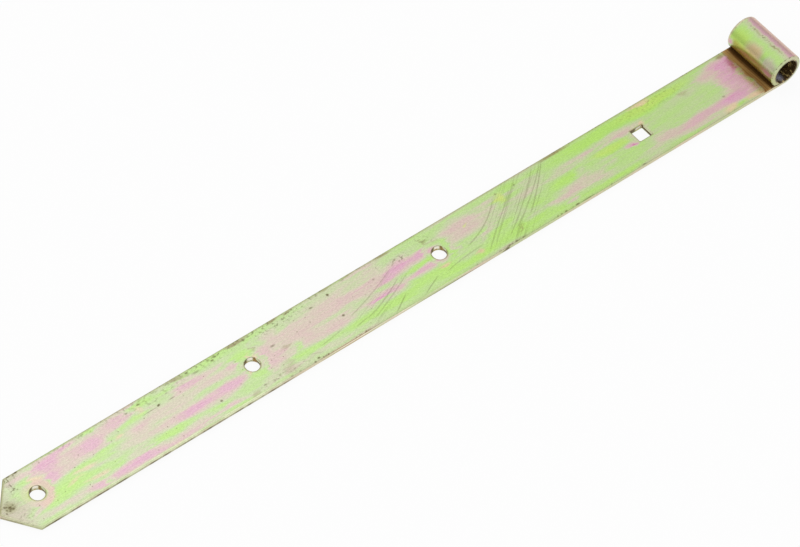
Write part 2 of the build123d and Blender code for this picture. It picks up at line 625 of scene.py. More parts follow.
EYE_END_PATCHES = (
    FilmPatch(-66, 12.4, 56, 10, Tone.LIME),
    FilmPatch(-47, 6.8, 20, 4, Tone.BEIGE, 0.7),
    FilmPatch(-60, 0.5, 38, 12, Tone.GREEN, 0.8),
    FilmPatch(-36, 2.4, 18, 7, Tone.GREEN, 0.8),
    FilmPatch(-56, -11, 44, 7, Tone.MAUVE, 0.95),
    FilmPatch(-22, -2, 20, 14, Tone.MAUVE, 0.95),
    FilmPatch(-18, 2, 12, 8, Tone.PINK, 0.7),
    FilmPatch(-28, -10.6, 30, 8, Tone.PINK),
    FilmPatch(-21, 9.4, 20, 13, Tone.PINK),
    FilmPatch(-15.6, 8.6, 4, 14, Tone.MAGENTA, 0.8),
    FilmPatch(-31, -16.4, 14, 2.4, Tone.LIME, 0.7),
    FilmPatch(-46, -14.6, 10, 3.4, Tone.SAGE, 0.85),
    FilmPatch(-64, -16, 36, 2.6, Tone.GREEN, 0.85),
    FilmPatch(-36, 15.8, 22, 3, Tone.GREEN, 0.85),
    FilmPatch(-26, -13.4, 20, 4, Tone.PINK, 0.7),
    FilmPatch(-17, -7, 8, 8, Tone.PINK, 0.7),
    FilmPatch(-15.7, -0.2, 4, 4, Tone.GREEN, 0.7),
    FilmPatch(-54, -2, 24, 5, Tone.BEIGE, 0.35),
    FilmPatch(-57, 6.7, 14, 4, Tone.BEIGE, 0.4),
    FilmPatch(-60, 13, 16, 5, Tone.LIME, 0.6),
    FilmPatch(-33, 9, 12, 7, Tone.MAUVE, 0.85),
    FilmPatch(-74, -9, 14, 6, Tone.MAUVE, 0.7),
    FilmPatch(-52, -15.2, 22, 2.4, Tone.MAUVE, 0.6),
    FilmPatch(-14.6, 8, 3, 10, Tone.MAGENTA, 0.8),
    FilmPatch(-22, -2, 14, 12, Tone.PINK, 0.55),
    FilmPatch(-50, -10.4, 30, 4, Tone.PINK, 0.4),
)
EYE_PATCHES = (
    # The first band, along the eye's whole length, is a painted highlight
    FilmPatch(EYE_START + 12.0, 0, 9, 90, Tone.GREEN, 0.9),
    FilmPatch(EYE_START + 20.6, 0, 12, 90, Tone.PINK, 0.95),
    FilmPatch(EYE_START + 15.6, 0, 3, 90, Tone.SAGE, 0.6),
    FilmPatch(EYE_START + 11, 16.4, 14, 3, Tone.SAGE, 0.9),
    FilmPatch(EYE_START + 6, 11, 11, 13, Tone.LIME),
    FilmPatch(EYE_START + 6.2, -0.5, 8, 11, Tone.BEIGE, 0.95),
    FilmPatch(EYE_START + 7.5, -7.5, 7, 4, Tone.LIME, 0.6),
    FilmPatch(EYE_START + 6, -13.4, 7, 9, Tone.BEIGE, 0.9),
    FilmPatch(EYE_START + 0.8, 15.4, 5, 4.4, Tone.PINK, 0.95),
    FilmPatch(EYE_START + 1.4, -13, 5, 9, Tone.PINK, 0.95),
)

# Stains of the film, each laid over the ones before it
STAINS = (
    Stain(-485, -1, 16, 30, Hue.GREY, 0.55),
    Stain(-474, 14.5, 6, 9, Hue.GREY, 0.6),
    Stain(-483.4, 0.8, 6, 5, Hue.OLIVE, 0.6),
    Stain(-463, 6.8, 6, 4, Hue.PEACH, turn=60),
    Stain(-462.6, -2.4, 3.4, 4, Hue.SALMON),
    Stain(-466, -7, 10, 4, Hue.SALMON, 0.6),
    Stain(-417.5, 4.2, 7, 2.4, Hue.PEACH, 0.7, turn=10),
    Stain(-439, -2, 13, 2, Hue.PEACH, 0.6),
    Stain(-448, -5, 8, 2, Hue.PEACH, 0.5, turn=15),
    Stain(-438, -9, 11, 2, Hue.PEACH, 0.6),
    Stain(-398.5, 11, 7, 3, Hue.PEACH, 0.5, turn=35),
    Stain(-394, -17, 7, 2, Hue.PEACH, 0.7),
    Stain(-219.3, -8.1, 8, 2, Hue.SALMON, 0.7),
    Stain(-199.6, -11.4, 4, 3, Hue.SALMON, 0.7),
    Stain(-170.6, 9.7, 6.6, 6.6, Hue.YELLOW, 0.8),
    Stain(-195.3, 6, 2.6, 2.2, Hue.YELLOW, 0.6),
    Stain(-104, 1.4, 24, 4, Hue.YELLOW, 0.4),
    Stain(-66, 13, 44, 6, Hue.YELLOW, 0.4),
    Stain(-71, 15, 10, 2, Hue.PEACH, 0.6),
    Stain(-19, -16, 10, 3.4, Hue.PEACH, 0.9),
    Stain(-78, 5.2, 4, 3, Hue.PEACH, 0.8),
    Stain(-35, -15.6, 10, 4, Hue.PEACH, 0.8),
    Stain(-73, 16, 14, 2, Hue.PEACH, 0.7),
    Stain(-335.4, 6, 3, 2.4, Hue.PEACH, 0.7),
    Stain(-332.4, 3.6, 2.6, 5, Hue.PEACH, 0.8, turn=-30),
    Stain(-341, -2.4, 2, 5, Hue.PEACH, 0.7, turn=-30),
    Stain(-283, -19.4, 28, 3, Hue.ROSE, 0.8),
    Stain(-15.5, 15.6, 6, 4, Hue.BROWN, 0.7),
    Stain(EYE_START + 5.4, 10, 10, 14, Hue.YELLOW, 0.4),
    Stain(EYE_START + 5.4, -0.5, 9, 12, Hue.SAND, 0.7),
    Stain(EYE_START + 23, 0, 8, 90, Hue.SAND, 0.5),
    Stain(EYE_START + 15.2, -8, 1.2, 9, Hue.BROWN, 0.5, turn=4),
    Stain(EYE_START + 15.6, 6, 1.2, 9, Hue.BROWN, 0.3),
    Stain(-322, -12.5, 7, 8, Hue.BROWN, 0.3),
    Stain(-316.5, -0.8, 5, 2, Hue.BROWN, 0.45, turn=25),
    Stain(-347, -16, 5, 4, Hue.BROWN, 0.4),
    Stain(-330.5, 8.5, 3, 3, Hue.BROWN, 0.4),
    Stain(-173, -12, 3, 4.4, Hue.BROWN, 0.4, turn=20),
    Stain(-48.7, 7.4, 5, 3, Hue.BROWN, 0.3),
    Stain(-218.5, 10.5, 9, 1.8, Hue.BROWN, 0.4, turn=-38),
    Stain(-336, 16.7, 12, 1.8, Hue.BROWN, 0.9),
    Stain(-371, 16.2, 12, 2.2, Hue.BROWN, 0.7, turn=-8),
    Stain(-311, 16.3, 9, 2.2, Hue.BROWN, 0.9),
    Stain(-300, 16.2, 4, 2.2, Hue.BROWN, 0.7),
    Stain(-278, 16.6, 8, 1.6, Hue.BROWN, 0.6),
    Stain(-263, 17, 8, 1.2, Hue.BROWN, 0.6),
    Stain(-243, 16.6, 9, 1.8, Hue.BROWN, 0.9),
    Stain(-130, 16.4, 16, 2, Hue.BROWN, 0.85),
)

# Pits, areas of dirt, scratches and scored areas
PITS = (
    Mark(-485.4, 2.6, 1.2, 1.6, 0.75),
    Mark(-483.2, 0.2, 2.2, 1.5, 0.75),
    Mark(-486.6, -1.1, 1.0, 1.4, 0.65),
    Mark(-481.0, 0.1, 1.4, 1.2, 0.35),
    Mark(-482.2, 4.6, 1.4, 1.2, 0.3),
    Mark(-484.6, 2.2, 1.6, 1.2, 0.7),
    Mark(-483.2, 1.2, 2.2, 1.4, 0.9),
    Mark(-482.2, -0.4, 1.8, 1.4, 0.8),
    Mark(-484.2, -0.6, 1.4, 1.2, 0.7),
    Mark(-481.2, 1.6, 1.2, 1.0, 0.6),
    Mark(-485.4, 0.6, 1.2, 1.2, 0.6),
    Mark(-474.6, 14.8, 0.8, 2.2, 0.6),
    Mark(-475.2, 11.6, 0.8, 2.4, 0.6),
    Mark(-474.9, 9.2, 1.4, 0.9, 0.7),
    Mark(-473.9, 7.9, 1.0, 0.8, 0.5),
    Mark(-473.4, 16.8, 2.6, 0.8, 0.8),
    Mark(-470, -19.2, 12, 1.0, 0.6),
    Mark(-455, -19.2, 8, 0.9, 0.6),
    Mark(-187.2, -18.6, 3, 1.4, 0.9),
    Mark(-134, -17.3, 9, 0.7, 0.6),
    Mark(-468.8, 17, 2.4, 1.4, 1.0),
    Mark(-388.6, 7.9, 2.2, 1.2, 0.9, turn=25),
    Mark(-396.5, 14.3, 2.2, 1.1, 0.7),
    Mark(-404.5, 13.3, 1.6, 1.0, 0.5),
    Mark(-380.5, 7.5, 3.6, 0.7, 0.5),
    Mark(-394, 7.4, 8, 0.6, 0.4),
    Mark(-365.7, 15.7, 1.8, 1.2, 0.7),
    Mark(-361.5, 13.3, 4.6, 1.4, 0.4),
    Mark(-350.7, 14.4, 2, 1.1, 0.7),
    Mark(-348.3, 15.5, 2, 1.2, 0.7),
    Mark(-330.7, 15.3, 1.4, 1.6, 0.7),
    Mark(-362.3, -8.6, 1.5, 1.4, 0.7),
    Mark(-339, -13.6, 1.8, 1, 0.5),
    Mark(-321.3, 3.6, 2.8, 1.3, 0.5),
    Mark(-279.4, 12.8, 1.5, 1.7, 0.9),
    Mark(-281.1, -2.3, 1.7, 1.4, 0.8),
    Mark(-291.3, 11.2, 2.4, 1.1, 0.6),
    Mark(-307.5, -16.2, 1.7, 1.2, 0.8),
    Mark(-254.8, 6.8, 1.7, 1.1, 0.4),
    Mark(-238.5, 10.4, 2, 1.4, 0.4),
    Mark(-170.3, 13.2, 1.3, 1.2, 0.5),
    Mark(-158.7, 12.4, 1.7, 1.2, 0.5, turn=40),
    Mark(-140.5, -17.2, 2.4, 1.2, 0.7),
    Mark(-96, -17.3, 2.6, 1.0, 0.6),
    Mark(-33, -6.9, 1.8, 1.2, 0.4),
)
SOILED = (
    Mark(-484, 0.8, 8, 8, 0.4),
    Mark(-475.6, 11, 3, 14, 0.7, turn=-12),
    Mark(-474.5, 16.4, 9, 4, 0.9),
    Mark(-480, -9, 14, 10, 0.25),
    Mark(-388, 13, 46, 6, 0.28),
    Mark(-350, 14.6, 34, 4, 0.35),
    Mark(-326, -14, 30, 5, 0.35),
    Mark(-312, 14, 34, 6, 0.5),
    Mark(-237, 9.6, 14, 4, 0.6),
    Mark(-219, 12, 12, 6, 0.35, turn=-40),
    Mark(-66, 13, 50, 8, 0.25),
    Mark(-420, 15.8, 90, 2.6, 0.35),
    Mark(-330, 16.2, 150, 2.4, 0.6),
    Mark(EYE_START + 15.4, 0, 1.8, 24, 0.6),
    Mark(EYE_START + 12, 16.8, 16, 1.4, 0.7),
)
SCRATCHES = (
    Scratch((-279, -5.2), (-264, -0.8), (-244, 7.0)),
    Scratch((-270.5, -13.6), (-257, -8.5), (-239, -0.3)),
    Scratch((-273, -11.3), (-261, -7.8), (-244, 0.5), 0.35),
    Scratch((-281, -12.2), (-276, -11.3), (-271, -10.6), 0.35),
    Scratch((-259, -17.2), (-254, -14.3), (-247, -10), 0.45, 0.6),
    Scratch((-302, -10.9), (-294, -10.1), (-286, -8.4), 0.25),
    Scratch((-272.5, -11.2), (-271, -12.5), (-269.6, -13.6), 0.35),
    Scratch((-311, -11), (-307, -13), (-303, -14.4), 0.25),
    Scratch((-203, -5), (-188, 0.7), (-172.8, 12), 0.4),
    Scratch((-222, -11.7), (-210, -9.8), (-196, -8.8), 0.3),
    Scratch((-239.5, -16.5), (-233, -13.5), (-227, -11), 0.4),
    Scratch((-196, -14.2), (-180, -1.8), (-160, 11.8), 0.35),
    Scratch((-191, -13), (-176, -0.6), (-158.5, 12.3), 0.3),
    Scratch((-182, -13), (-163, 0), (-144, 15.8), 0.35),
    Scratch((-176, -11), (-157, 1), (-138.5, 16.2), 0.35),
    Scratch((-164, -7.7), (-151, 3), (-137, 16.6), 0.4),
)
SCORED = (
    Mark(-168, -1, 60, 26, 0.35, turn=38),
    Mark(-258, -6, 44, 14, 0.3, turn=24),
)

# The slate-grey patch inside the eye, seen from above
INNER_SLATE = Stain(-1.2, -13.8, 4, 6, Hue.SLATE, 0.95)

# Marks along the rims and the near side; the cream, pale and glint ones are painted highlights on rounded
# rims
RIMS = (
    Stain(-483.4, 1.4, 6, 7, Hue.OLIVE, 0.5),
    Stain(-79.0, 0.3, 1.2, 9, Hue.CREAM, 0.9),
    Stain(-83.6, 5.2, 7, 1.2, Hue.CREAM, 0.5),
    Stain(-290, -17.8, 34, 0.7, Hue.RUST, 0.7),
    Stain(-284, -18.5, 40, 0.8, Hue.GLINT, 0.7),
    Stain(-288, -19.4, 30, 1.0, Hue.RUST, 0.5),
    Stain(-254, -18.6, 16, 0.9, Hue.GLINT, 0.5),
    Stain(-226, -17.7, 44, 0.8, Hue.PALE, 0.7),
    Stain(-222, -19.7, 40, 1.0, Hue.DARK, 0.6),
    Stain(-188, -19.4, 5, 1.6, Hue.DARK, 0.8),
)
PATCHES = (
    TIP_PATCHES
    + TIP_TO_MIDDLE_PATCHES
    + MIDDLE_PATCHES
    + INNER_PATCHES
    + SQUARE_PATCHES
    + EYE_END_PATCHES
    + EYE_PATCHES
)


class BarMap:
    """The bar's surface laid out flat, in millimetres, with the shapes that the finish places on it."""

    # What parts the top, the sides, the underside and the eye
    EYE_RISE = 0.1
    PAST_PIN = -0.5
    UNDERSIDE_SKIN = 0.3
    TOP_SKIN = 0.7
    SIDE_DEPTH = Span(0.2, 0.7)
    SIDE_REACH = Span(0.7, 0.3)

    # The walls of the holes, their lips and the painted glints on their walls
    WALL_DEPTH = Span(0.1, 0.35)
    HOLE_REACH = 6.8
    ROUND_LIP = Span(4.9, 4.3)
    SQUARE_LIP = Span(4.95, 4.55)
    GLINT_LEFT = Span(-3.2, -2.4)
    GLINT_RIGHT = Span(0.2, -0.8)
    GLINT_DEPTH = Span(1.9, 1.4)

    # The inside of the eye, and the crevice where the eye seats on the strap
    BORE_SKIN = Span(1.2, 0.3)
    UNDER_PIN = Span(-0.5, 0.3)
    CREVICE = Span(-15.0, -12.6)
    CREVICE_GRAIN = Grain(60, 6, 3)
    CREVICE_WANDER = 7.0

    # How the map is stirred, and the middle of a noise's range
    BROAD_GRAIN = Grain(22, 6)
    BROAD_STIR = (14.0, 3.4, 0.0)
    FINE_GRAIN = Grain(6, 1.5, 3)
    FINE_STIR = (7.0, 2.0, 0.0)
    EYE_STIR = 0.25
    NOISE_MIDDLE = 0.5

    # The rims of ovals and rings, and the ends and lines of scratches, scores and specks
    OVAL_CORE = 0.3
    OVAL_RIM = 1.5
    RING_CORE = 0.4
    RING_RIM = 1.4
    SCRATCH_LEAD = 1.0
    SCRATCH_FADE = 3.0
    SCORE_GRAIN = Grain(34, 0.7, 3)
    SCORE_LINES = Span(0.52, 0.62)
    SPECK_RIM = Span(0.06, -0.06)

    def __init__(self, web: NodeWeb, strap: "HingeStrap") -> None:
        """Lays the surface out.

        Args:
            web: The material's nodes.
            strap: The strap, for its sizes and its holes.
        """
        self.web = web
        self.top = strap.top / MM
        place = web.scaled(web.add("ShaderNodeTexCoord").outputs["Object"], 1 / MM)
        self.level = web.vector("MULTIPLY", place, (1.0, 1.0, 0.0))
        self.x, self.y, self.z = web.axes(place)
        self.across = web.math("ABSOLUTE", self.y)
        self.depth = web.math("SUBTRACT", self.top, self.z)
        risen = web.math("GREATER_THAN", self.z, self.top + self.EYE_RISE)
        self.past_pin = web.math("GREATER_THAN", self.x, self.PAST_PIN)
        self.on_eye = web.most(risen, self.past_pin)
        self.flat = web.without(self.on_eye)
        lowest = web.math("LESS_THAN", self.z, strap.underside / MM + self.UNDERSIDE_SKIN)
        self.below = web.times(lowest, self.flat)
        self.above = web.times(web.math("LESS_THAN", self.depth, self.TOP_SKIN), self.flat)
        self.to_edge = self.from_edges(place, strap)
        side = web.between(self.depth, self.SIDE_DEPTH)
        self.on_side = web.times(side, self.flat, web.between(self.to_edge, self.SIDE_REACH))
        near_hole, self.onward, self.aslant, self.on_lip = self.near_holes(strap)
        wall = web.between(self.depth, self.WALL_DEPTH)
        self.in_hole = web.times(wall, self.flat, web.without(self.below), near_hole)
        # The glint marks a painted highlight high on the lit side of each hole's wall
        left = web.between(self.aslant, self.GLINT_LEFT)
        right = web.between(self.aslant, self.GLINT_RIGHT)
        self.glint = web.times(left, right, web.between(self.depth, self.GLINT_DEPTH), self.in_hole)
        self.from_pin = web.vector("LENGTH", web.joined(x=self.x, z=self.z))
        rolled = web.times(self.on_eye, web.between(self.from_pin, self.BORE_SKIN.moved(-self.top)))
        under_pin = web.times(self.above, web.between(self.x, self.UNDER_PIN.moved(self.top)))
        self.in_bore = web.most(rolled, under_pin)
        self.surface = self.unrolled(strap.eye_radius / MM)
        self.along = web.axes(self.surface)[0]
        wander = web.times(self.sway(self.CREVICE_GRAIN), self.CREVICE_WANDER)
        self.in_crevice = web.times(web.between(web.plus(self.x, wander), self.CREVICE), self.above)
        self.dirty = web.most(self.in_crevice, self.in_hole)
        self.warped = self.stirred()

    def unrolled(self, radius: float) -> Socket:
        """Lays the eye out past the bar's end, then the underside, and folds the sides down flat.

        Args:
            radius: The eye's outer radius, in millimetres.

        Returns:
            The place on the flat map.
        """
        web = self.web
        last_quarter = web.times(self.past_pin, web.math("LESS_THAN", self.z, 0.0))
        angle = web.math("ARCTAN2", self.z, web.times(self.x, -1.0))
        angle = web.plus(angle, web.times(last_quarter, math.tau))
        along = web.mix(self.on_eye, self.x, web.plus(web.times(angle, radius), EYE_START))
        eye_end = EYE_START + 0.75 * math.tau * radius
        along = web.mix(self.below, along, web.math("SUBTRACT", eye_end, self.x))
        folded = web.times(self.depth, web.math("SUBTRACT", self.flat, self.below))
        return web.joined(along, web.plus(self.y, web.times(folded, web.math("SIGN", self.y))))

    def near_holes(self, strap: "HingeStrap") -> tuple[Socket, Socket, Socket, Socket]:
        """Finds what lies at a hole.

        Args:
            strap: The strap, for its holes.

        Returns:
            1 at a hole and 0 elsewhere, how far towards the eye from the hole's middle, how far aslant
            from it, towards the eye and the near edge, and 1 at its lip.
        """
        web = self.web
        near, onward, aslant, lips = [], [], [], []
        for name in HOLES:
            centre = strap.hole(name) / MM
            off = web.vector("SUBTRACT", self.level, (centre.x, centre.y, 0.0))
            reach = web.vector("LENGTH", off)
            here = web.math("LESS_THAN", reach, self.HOLE_REACH)
            near.append(here)
            onward.append(web.times(here, web.vector("DOT_PRODUCT", off, ONWARD)))
            aslant.append(web.times(here, web.vector("DOT_PRODUCT", off, ASLANT)))
            if name == SQUARE_HOLE:
                sides = web.axes(web.vector("ABSOLUTE", off))
                lips.append(web.between(web.most(*sides[:2]), self.SQUARE_LIP))
            else:
                lips.append(web.between(reach, self.ROUND_LIP))
        return web.most(*near), web.plus(*onward), web.plus(*aslant), web.most(*lips)

    def from_edges(self, place: Socket, strap: "HingeStrap") -> Socket:
        """Measures the distance to the nearest edge of the flat bar, seen from above.

        Args:
            place: The place on the strap, in millimetres.
            strap: The strap, for its width and its point.

        Returns:
            The distance inward from the edge, in millimetres.
        """
        web = self.web
        nearest = web.math("SUBTRACT", strap.width / 2 / MM, self.across)
        apex = Vector((strap.tip, strap.apex_offset, 0.0)) / MM
        for normal in strap.point_normals():
            inward = web.math("SUBTRACT", normal.dot(apex), web.vector("DOT_PRODUCT", place, normal))
            nearest = web.math("MINIMUM", nearest, inward)
        return nearest

    def stirred(self) -> Socket:
        """Stirs the flat map so that what is placed on it gets a ragged rim, less so on the eye.

        Returns:
            The stirred place on the flat map.
        """
        web = self.web
        middle = (self.NOISE_MIDDLE,) * 3
        moves = []
        for grain, stir in ((self.BROAD_GRAIN, self.BROAD_STIR), (self.FINE_GRAIN, self.FINE_STIR)):
            swirl = web.vector("SUBTRACT", web.noise(self.surface, grain).outputs["Color"], middle)
            moves.append(web.vector("MULTIPLY", swirl, stir))
        share = web.mix(self.on_eye, 1.0, self.EYE_STIR)
        return web.vector("ADD", self.surface, web.scaled(web.vector("ADD", *moves), share))

    def oval(self, mark: FilmPatch | Stain | Mark, place: Socket) -> Socket:
        """Draws a patch, stain or mark.

        Args:
            mark: What is drawn.
            place: The flat map that it is drawn on, stirred or not.

        Returns:
            How strong it is at each place, from 0 to its strength.
        """
        web = self.web
        turn = math.radians(mark.turn)
        along = Vector((math.cos(turn), math.sin(turn), 0.0)) * 2 / mark.length
        athwart = Vector((-math.sin(turn), math.cos(turn), 0.0)) * 2 / mark.width
        if mark.turn:
            off = web.vector("SUBTRACT", place, (mark.x, mark.y, 0.0))
            off = web.joined(*(web.vector("DOT_PRODUCT", off, axis) for axis in (along, athwart)))
        else:
            size = Vector((along.x, athwart.y, 0.0))
            off = web.vector("MULTIPLY_ADD", place, size, (-size.x * mark.x, -size.y * mark.y, 0.0))
        rim = Span(self.OVAL_RIM, self.OVAL_CORE, 0.0, mark.strength)
        return web.between(web.vector("LENGTH", off), rim)

    def line(self, scratch: Scratch) -> Socket:
        """Draws a scratch.

        Args:
            scratch: What is drawn.

        Returns:
            How strong it is at each place, from 0 to its strength.
        """
        web = self.web
        x, y, radius = scratch.circle()
        reach = web.vector("DISTANCE", self.surface, (x, y, 0.0))
        off = web.math("ABSOLUTE", web.math("SUBTRACT", reach, radius))
        line = web.between(off, Span(scratch.width, 0.0, 0.0, scratch.strength))
        starts = web.between(self.x, Span(-self.SCRATCH_LEAD, self.SCRATCH_FADE).moved(scratch.start[0]))
        ends = web.between(self.x, Span(self.SCRATCH_LEAD, -self.SCRATCH_FADE).moved(scratch.end[0]))
        return web.times(line, starts, ends)

    def scores(self, area: Mark) -> Socket:
        """Scores an area with fine lines along its turned length.

        Args:
            area: What is scored.

        Returns:
            How strong the lines are at each place, from 0 to the area's strength.
        """
        web = self.web
        turned = web.placed(self.surface, (area.x, area.y, 0.0), (1.0, 1.0, 1.0), area.turn)
        lines = web.between(web.noise(turned, self.SCORE_GRAIN).outputs["Fac"], self.SCORE_LINES)
        return web.times(lines, self.oval(area, self.surface))

    def ring(self, place: Socket, centre: Vector, ring: Ring) -> Socket:
        """Draws a soft ring.

        Args:
            place: The flat map that it is drawn on, stirred or not.
            centre: Its middle, in metres.
            ring: What is drawn.

        Returns:
            How strong it is at each place, from 0 to its strength.
        """
        web = self.web
        middle, half = (ring.inner + ring.outer) / 2, (ring.outer - ring.inner) / 2
        reach = web.vector("DISTANCE", place, (centre.x / MM, centre.y / MM, 0.0))
        off = web.math("ABSOLUTE", web.math("SUBTRACT", reach, middle))
        return web.between(off, Span(self.RING_RIM * half, self.RING_CORE * half, 0.0, ring.strength))

    def sway(self, grain: Grain) -> Socket:
        """Draws noise of a grain on the flat map, about zero."""
        noise = self.web.noise(self.surface, grain).outputs["Fac"]
        return self.web.math("SUBTRACT", noise, self.NOISE_MIDDLE)

    def streaks(self, grain: Grain, span: Span) -> Socket:
        """Draws noise of a grain on the flat map, mapped by a span."""
        return self.web.between(self.web.noise(self.surface, grain).outputs["Fac"], span)

    def specks(self, spacing: float, size: float, share: float) -> Socket:
        """Scatters round specks over the flat map.

        Args:
            spacing: How far apart the cells are that may hold one, in millimetres.
            size: The largest speck's radius, as a share of a cell.
            share: The share of cells that hold one.

        Returns:
            How strong a speck is at each place, from 0 to 1.
        """
        web = self.web
        inputs = {"Vector": web.placed(self.surface, ORIGIN, (spacing, spacing, 1.0)), "Scale": 1.0}
        cells = web.add("ShaderNodeTexVoronoi", inputs, voronoi_dimensions="2D").outputs
        chance = web.axes(cells["Color"])[0]
        reach = web.times(web.between(chance, Span(1.0 - share, 1.0)), size)
        return web.between(web.math("SUBTRACT", cells["Distance"], reach), self.SPECK_RIM)


@dataclass(frozen=True)
class Film:
    """The chromate film, whose thickness gives its tone."""

    streaks: Grain = Grain(38, 5, 3)
    streak_tones: Span = Span(0.3, 0.7, 0.12, 0.6)
    halo: Ring = Ring(5.8, 8.4, 0.35)
    threads: Grain = Grain(18, 0.9, 3)
    thread_depth: float = 0.24
    flecks: Grain = Grain(2.4, 1.1, 3)
    fleck_depth: float = 0.16

    def tone(self, bar: BarMap, strap: "HingeStrap") -> Socket:
        """Works out the film's place on the tone scale from its streaks, patches and rings.

        Args:
            bar: The bar's flat map.
            strap: The strap, for its holes.

        Returns:
            The film's place, from 0 to 1.
        """
        web = bar.web
        tone = bar.streaks(self.streaks, self.streak_tones)
        for patch in PATCHES:
            tone = web.mix(bar.oval(patch, bar.warped), tone, patch.tone.value)
        for name in INNER_HOLES:
            tone = web.mix(bar.ring(bar.warped, strap.hole(name), self.halo), tone, Tone.LIME.value)
        threads = web.times(bar.sway(self.threads), self.thread_depth)
        return web.plus(tone, threads, web.times(bar.sway(self.flecks), self.fleck_depth))


@dataclass(frozen=True)
class Staining:
    """Stains on the film, the rings round the tip's hole and painted light that pales the film towards the
    tip.
    """

    gleam: Ring = Ring(3.8, 5.6, 0.4)
    gleam_reach: Span = Span(-463.0, -467.0)
    blush: Ring = Ring(4.6, 8.6, 1.0)
    blush_reach: Span = Span(-474.0, -465.0, 0.35, 0.85)
    blush_side: Span = Span(9.0, 5.0)
    blush_stir: float = 0.3
    # Painted light, paler towards the tip
    painted_tip_light: Span = Span(-20.0, -480.0, 0.0, 0.15)

    def over(self, bar: BarMap, colour: Socket, strap: "HingeStrap") -> Socket:
        """Lays the stains on the film's colour and pales it towards the tip with painted light.

        Args:
            bar: The bar's flat map.
            colour: The film's colour.
            strap: The strap, for its holes.

        Returns:
            The stained colour.
        """
        web = bar.web
        for stain in STAINS:
            colour = web.blend(bar.oval(stain, bar.warped), colour, stain.hue.value)
        tip_hole = strap.hole(TIP_HOLE)
        gleam = web.times(bar.ring(bar.warped, tip_hole, self.gleam), web.between(bar.x, self.gleam_reach))
        colour = web.blend(gleam, colour, Hue.YELLOW.value)
        moves = web.vector("SUBTRACT", bar.warped, bar.surface)
        calm = web.vector("ADD", bar.surface, web.scaled(moves, self.blush_stir))
        reach = web.times(web.between(bar.x, self.blush_reach), web.between(bar.y, self.blush_side))
        colour = web.blend(web.times(bar.ring(calm, tip_hole, self.blush), reach), colour, Hue.BLUSH.value)
        # Painted light: white added towards the tip
        return web.blend(web.between(bar.x, self.painted_tip_light), colour, WHITE, "ADD")


